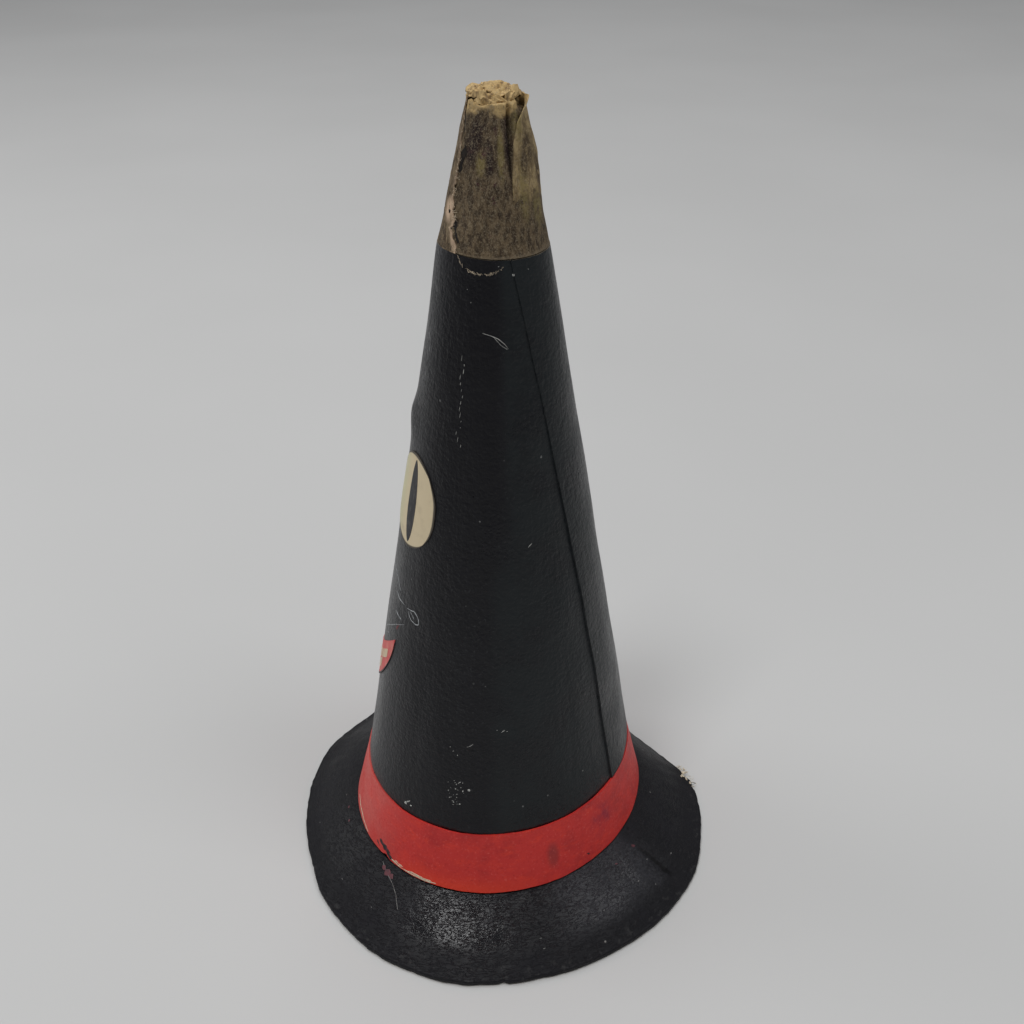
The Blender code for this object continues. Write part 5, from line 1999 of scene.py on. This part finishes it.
@dataclass
class CatFace:
    """Cat's face in cut paper and paint on the front of the cone."""

    eye_turn: float = 35.5
    eye_z: float = 134.0 * MM
    eye_half_width: float = 11.8 * MM
    eye_half_height: float = 14.0 * MM
    pupil_turn: float = 37.8
    pupil_half_width: float = 2.3 * MM
    pupil_half_height: float = 12.6 * MM
    mouth_corner: float = 37.4
    mouth_corner_z: float = 86.5 * MM
    mouth_top_z: float = 74.0 * MM
    mouth_top_rise: float = 14.3 * MM
    mouth_top_power: float = 1.3
    mouth_round: float = 0.12
    mouth_depth: float = 26.0 * MM
    upper_teeth_in: float = 3.0 * MM
    upper_teeth_height: float = 3.2 * MM
    lower_teeth_in: float = 2.6 * MM
    lower_teeth_height: float = 3.4 * MM
    # Teeth of one half: turn_deg, half_width_deg
    upper_teeth: Pairs = ((0.0, 4.2), (9.0, 4.0), (18.0, 4.0), (27.0, 3.9))
    lower_teeth: Pairs = ((0.0, 4.6), (10.0, 4.4), (19.6, 4.2))
    # Whiskers and curls: width_mm, then turn_deg and z_mm along each
    strokes: Strokes = (
        (0.14, ((20.0, 108.2), (24.0, 107.6), (29.7, 106.7), (33.0, 105.2), (36.0, 103.8))),
        (0.20, ((31.0, 102.4), (35.0, 101.3), (41.7, 101.2))),
        (0.24, ((44.0, 101.0), (48.8, 101.5), (51.3, 101.9), (54.1, 101.0), (55.5, 99.8),
                (55.3, 98.6), (53.1, 98.1), (49.7, 98.4), (47.4, 99.4), (46.2, 100.6))),
        (0.14, ((47.6, 100.9), (50.2, 100.3), (51.8, 99.4))),
        (0.24, ((33.3, 96.4), (36.5, 95.9), (40.4, 95.6))),
        (0.12, ((19.0, 84.8), (26.0, 88.2), (36.0, 92.4), (43.9, 95.1))),
        (0.20, ((25.4, 85.4), (27.2, 85.5))),
    )
    dots: Strokes = ((0.7, ((36.6, 91.0), (38.0, 92.2), (39.0, 93.0))),)

    def _disc(self, turn: float, half_width: float, half_height: float, pointed: float,
              side: Side, height: float) -> SheetLay:
        """Rule that lays a grid as an upright oval on the crown.

        Args:
            turn: Turn of its middle.
            half_width: Half its width.
            half_height: Half its height.
            pointed: How much its ends are drawn to points, 1 for an oval.
            side: Side of the face.
            height: Height off the paper.

        Returns:
            The rule for a sheet.
        """
        def lay(s: Array, t: Array) -> Array:
            """Points of the sheet.

            Args:
                s: Places across, -1 to 1.
                t: Places up, -1 to 1.

            Returns:
                The points.
            """
            across = s * np.sqrt(1.0 - t * t / 2.0)
            up = t * np.sqrt(1.0 - s * s / 2.0)
            across = across * np.maximum(1.0 - up * up, 0.0) ** (0.5 * (pointed - 1.0))
            z = self.eye_z + half_height * up
            middle = CONE.radius(self.eye_z)
            rough = lumps(np.stack((across, up, 0.0 * up), axis=-1), 0.30, 5.0 + turn)
            rough = 1.0 + 0.012 * rough * np.maximum(np.abs(s), np.abs(t)) ** 6
            degrees = np.degrees(half_width * across * rough / middle)
            return CONE.on_crown(side.value * turn + degrees, z, np.full_like(z, height))

        return lay

    def _eye(self, side: Side) -> None:
        """Cut one eye and its slit pupil.

        Args:
            side: Side of the face.
        """
        label = side.name.lower()
        eye = WORKSHOP.sheet(f"eye_{label}_paper", 56, 56, self._disc(
            self.eye_turn, self.eye_half_width, self.eye_half_height, 1.0, side, 0.28 * MM))
        cream = bpy.data.materials.get("cream_eye_paper") or EyePaper().material()
        WORKSHOP.cut_paper(eye, Slot.CREAM, cream, 0.26 * MM, (f"eye_{label}",))
        pupil = WORKSHOP.sheet(f"pupil_{label}_slit", 16, 64, self._disc(
            self.pupil_turn, self.pupil_half_width, self.pupil_half_height, 1.25, side, 0.34 * MM))
        paint = bpy.data.materials.get("dark_slit_paint") or PlainPaint(
            "dark_slit_paint", (0.004, 0.003, 0.006), (0.12, 0.108, 0.092), 0.5, 700.0, 0.40).material()
        WORKSHOP.cut_paper(pupil, Slot.DARK, paint, 0.1 * MM, (f"pupil_{label}",))

    def _mouth_top(self, turn: Array) -> Array:
        """Height of the mouth's upper edge.

        Args:
            turn: Turns in degrees.

        Returns:
            The height at each turn.
        """
        out = (turn / self.mouth_corner) ** 2 + self.mouth_round**2
        rise = out ** (0.5 * self.mouth_top_power) - self.mouth_round**self.mouth_top_power
        return self.mouth_top_z + self.mouth_top_rise * rise

    def _mouth_bottom(self, turn: Array) -> Array:
        """Height of the mouth's lower edge."""
        inside = np.maximum(0.0, 1.0 - np.abs(turn / self.mouth_corner) ** 1.6)
        return self.mouth_corner_z - self.mouth_depth * inside**0.6

    def _mouth(self) -> None:
        """Cut the red mouth and its dark lower line."""

        def smile(low: float, high: float, height: float, grow: float = 0.0) -> SheetLay:
            """Rule that lays a grid as a part of the mouth.

            Args:
                low: Lower edge, 0 at the mouth's and 1 at its upper edge.
                high: Upper edge, the same way.
                height: Height off the paper.
                grow: How far its ends reach past the corners, in degrees.

            Returns:
                The rule for a sheet.
            """
            def lay(s: Array, t: Array) -> Array:
                """Points of the sheet.

                Args:
                    s: Places across, -1 to 1.
                    t: Places up, -1 to 1.

                Returns:
                    The points.
                """
                turn = (self.mouth_corner + grow) * np.sin(0.5 * np.pi * s)
                held = np.clip(turn, -self.mouth_corner, self.mouth_corner)
                bottom = self._mouth_bottom(held) - grow * 0.35 * MM
                top = self._mouth_top(held)
                share = low + (high - low) * (t + 1.0) / 2.0
                z = bottom + (top - bottom) * share
                return CONE.on_crown(turn, z, np.full_like(z, height))
            return lay

        mouth = WORKSHOP.sheet("mouth_paper", 96, 24, smile(0.0, 1.0, 0.26 * MM))
        red = PlainPaint("red_mouth_paint", (0.60, 0.085, 0.080), (0.66, 0.28, 0.21), 0.5, 420.0, 0.5)
        WORKSHOP.cut_paper(mouth, Slot.RED, red.material(), 0.24 * MM, ("mouth",))
        line = WORKSHOP.sheet("mouth_dark_line", 96, 6, smile(-0.02, 0.04, 0.31 * MM, 0.6))
        dark = PlainPaint("dark_mouth_line", (0.02, 0.012, 0.012), (0.06, 0.03, 0.03), 0.5, 800.0)
        WORKSHOP.cut_paper(line, Slot.DARK, dark.material(), 0.2 * MM)

    def _teeth(self) -> None:
        """Cut the two rows of cream teeth."""
        pieces = []
        for row, table in enumerate((self.upper_teeth, self.lower_teeth)):
            for centre, half in table:
                for sign in ((1,) if centre == 0.0 else (1, -1)):
                    def lay(s: Array, t: Array) -> Array:
                        """Points of the sheet.

                        Args:
                            s: Places across, -1 to 1.
                            t: Places up, -1 to 1.

                        Returns:
                            The points.
                        """
                        corner = 1.0 - 0.10 * np.abs(s) ** 5 * np.abs(t) ** 5
                        turn = sign * centre + half * s * corner
                        if row == 0:
                            high = self._mouth_top(turn) - self.upper_teeth_in
                            low = high - self.upper_teeth_height
                        else:
                            low = self._mouth_bottom(turn) + self.lower_teeth_in
                            high = low + self.lower_teeth_height
                        z = low + (high - low) * (t * corner + 1.0) / 2.0
                        return CONE.on_crown(turn, z, np.full_like(z, 0.34 * MM))

                    pieces.append(WORKSHOP.sheet(f"tooth_{len(pieces)}", 14, 10, lay))
        teeth = WORKSHOP.join(pieces, "teeth_paper")
        cream = PlainPaint("cream_tooth_paint", (0.60, 0.48, 0.32), (0.50, 0.22, 0.15), 0.5, 520.0, 0.6)
        WORKSHOP.cut_paper(teeth, Slot.CREAM, cream.material(), 0.12 * MM, ("teeth",))

    def _both_sides(self, name: str, table: Strokes, ragged: float, seed: float, slot: Slot,
                    tone: PlainPaint) -> None:
        """Paint strokes on both sides of the face.

        Args:
            name: Name of the piece.
            table: Width in mm, then turn in degrees and height in mm along each stroke of the left side.
            ragged: Share by which their width varies.
            seed: Number that picks the first stroke's unevenness.
            slot: Material slot of the record, handed on to paint.
            tone: Their paint.
        """
        pieces = []
        for side in Side:
            there = [(width, [(side.value * turn, z) for turn, z in path]) for width, path in table]
            pieces += WORKSHOP.strokes(f"{name}_{side.name}", CONE.on_crown, there, 0.06 * MM, CONE.radius,
                                       ragged, seed)
        WORKSHOP.paint(pieces, name, slot, tone, 0.05 * MM)

    def _whiskers(self) -> None:
        """Paint the whiskers, the curls and the mouth's dots on both sides."""
        white = PlainPaint("white_whisker_paint", (0.46, 0.48, 0.49), (0.09, 0.095, 0.11), 0.6, 1300.0, 0.9)
        self._both_sides("whiskers_paint", self.strokes, 0.5, 220.0, Slot.CREAM, white)
        red = PlainPaint("dark_red_dot", (0.14, 0.03, 0.035), (0.05, 0.02, 0.02), 0.6, 800.0)
        self._both_sides("mouth_corner_dots", self.dots, 0.35, 230.0, Slot.RED, red)

    def build(self) -> None:
        """Build the face."""
        for side in Side:
            self._eye(side)
        self._mouth()
        self._teeth()
        self._whiskers()


# Studio


@dataclass(frozen=True)
class FloorFinish:
    """Pale matt studio floor with a faint unevenness."""

    name: str = "pale_studio_floor"
    tone: Colour = (0.56, 0.56, 0.555)
    darker: Colour = (0.54, 0.54, 0.535)

    def material(self) -> Material:
        """Make the material.

        Returns:
            The material.
        """
        board = Board(self.name)
        clouds = board.noise(board.place, 3.0, 3.0, 0.5)
        colour = board.mix(board.between(clouds, 0.3, 0.7), self.tone, self.darker)
        return board.close(colour, 0.75)


@dataclass
class Studio:
    """Plain pale floor, even surroundings and four soft lights."""

    floor_half: float = 6.0
    surround: float = 0.28
    surround_tone: Colour = (0.92, 0.93, 0.95)
    # Lights: name, place, aim, size, power in watts
    lights: Sequence[tuple[str, Place, Place, float, float]] = (
        ("overhead_softbox", (0.57, -0.34, 1.6), (0.05, 0.0, 0.02), 0.34, 7.5),
        ("second_softbox", (0.16, 0.91, 1.6), (0.0, 0.0, 0.05), 0.6, 4.8),
        ("ceiling", (-1.0, -0.3, 3.6), (-1.0, -0.3, 0.0), 2.2, 42.0),
        ("left_softbox", (-0.2, -1.4, 1.0), (0.0, 0.0, 0.1), 0.8, 5.0),
    )

    def _floor(self) -> None:
        """Lay the floor."""
        def lay(s: Array, t: Array) -> Array:
            """Points of the sheet."""
            return np.stack((s * self.floor_half, t * self.floor_half, 0.0 * s), axis=-1)

        floor = WORKSHOP.sheet("studio_floor", 12, 12, lay)
        floor.data.materials.append(FloorFinish().material())

    def _surroundings(self) -> None:
        """Light the scene evenly from all round."""
        world = bpy.data.worlds.new("studio_surroundings")
        world.use_nodes = True
        shade = world.node_tree.nodes["Background"]
        shade.inputs["Color"].default_value = (*self.surround_tone, 1.0)
        shade.inputs["Strength"].default_value = self.surround
        bpy.context.scene.world = world

    def _lamp(self, name: str, spot: Place, aim: Place, size: float, watts: float) -> None:
        """Hang one soft light.

        Args:
            name: Name of the light.
            spot: Where it hangs.
            aim: Point that it faces.
            size: Side of its square face.
            watts: Its power.
        """
        lamp = bpy.data.lights.new(name, "AREA")
        lamp.shape = "SQUARE"
        lamp.size = size
        lamp.energy = watts
        held = bpy.data.objects.new(name, lamp)
        held.location = spot
        held.rotation_euler = (Vector(aim) - Vector(spot)).to_track_quat("-Z", "Y").to_euler()
        bpy.context.scene.collection.objects.link(held)

    def build(self) -> None:
        """Build the studio."""
        self._floor()
        self._surroundings()
        for row in self.lights:
            self._lamp(*row)
        bpy.context.scene.view_settings.view_transform = "Standard"
        LOG.info("studio: floor and %d lights", len(self.lights))


@dataclass(frozen=True)
class PhotoCamera:
    """Camera at the photograph's viewing angle."""

    turn: float = 100.0
    aside: float = 4.5 * MM
    away: float = 259.7 * MM
    up: float = 288.6 * MM
    pitch: float = 32.594
    roll: float = -0.153
    lens: float = 36.914
    sensor: float = 36.0

    def build(self) -> None:
        """Set up the camera."""
        angle = math.radians(self.turn)
        right = Vector((math.cos(angle), math.sin(angle), 0.0))
        toward = Vector((math.sin(angle), -math.cos(angle), 0.0))
        tilt = math.radians(self.pitch)
        forward = -toward * math.cos(tilt) - Vector((0.0, 0.0, math.sin(tilt)))
        upward = right.cross(forward)
        lean = math.radians(self.roll)
        side = right * math.cos(lean) + upward * math.sin(lean)
        upward = side.cross(forward)
        camera = bpy.data.cameras.new("photo_camera")
        camera.lens = self.lens
        camera.sensor_width = self.sensor
        camera.clip_start = 0.01
        held = bpy.data.objects.new("photo_camera", camera)
        turned = Matrix((side, upward, -forward)).transposed().to_4x4()
        place_at = right * self.aside + toward * self.away + Vector((0.0, 0.0, self.up))
        held.matrix_world = Matrix.Translation(place_at) @ turned
        bpy.context.scene.collection.objects.link(held)
        bpy.context.scene.camera = held


def main() -> None:
    """Build every piece in order, then the studio and the camera."""
    logging.basicConfig(level=logging.INFO, format="%(name)s %(message)s")
    for builder in (Crown(), Brim(), Band(), Peak(), CatFace(), Studio(), PhotoCamera()):
        builder.build()
        LOG.info("built %s", type(builder).__name__)


if __name__ == "__main__":
    main()
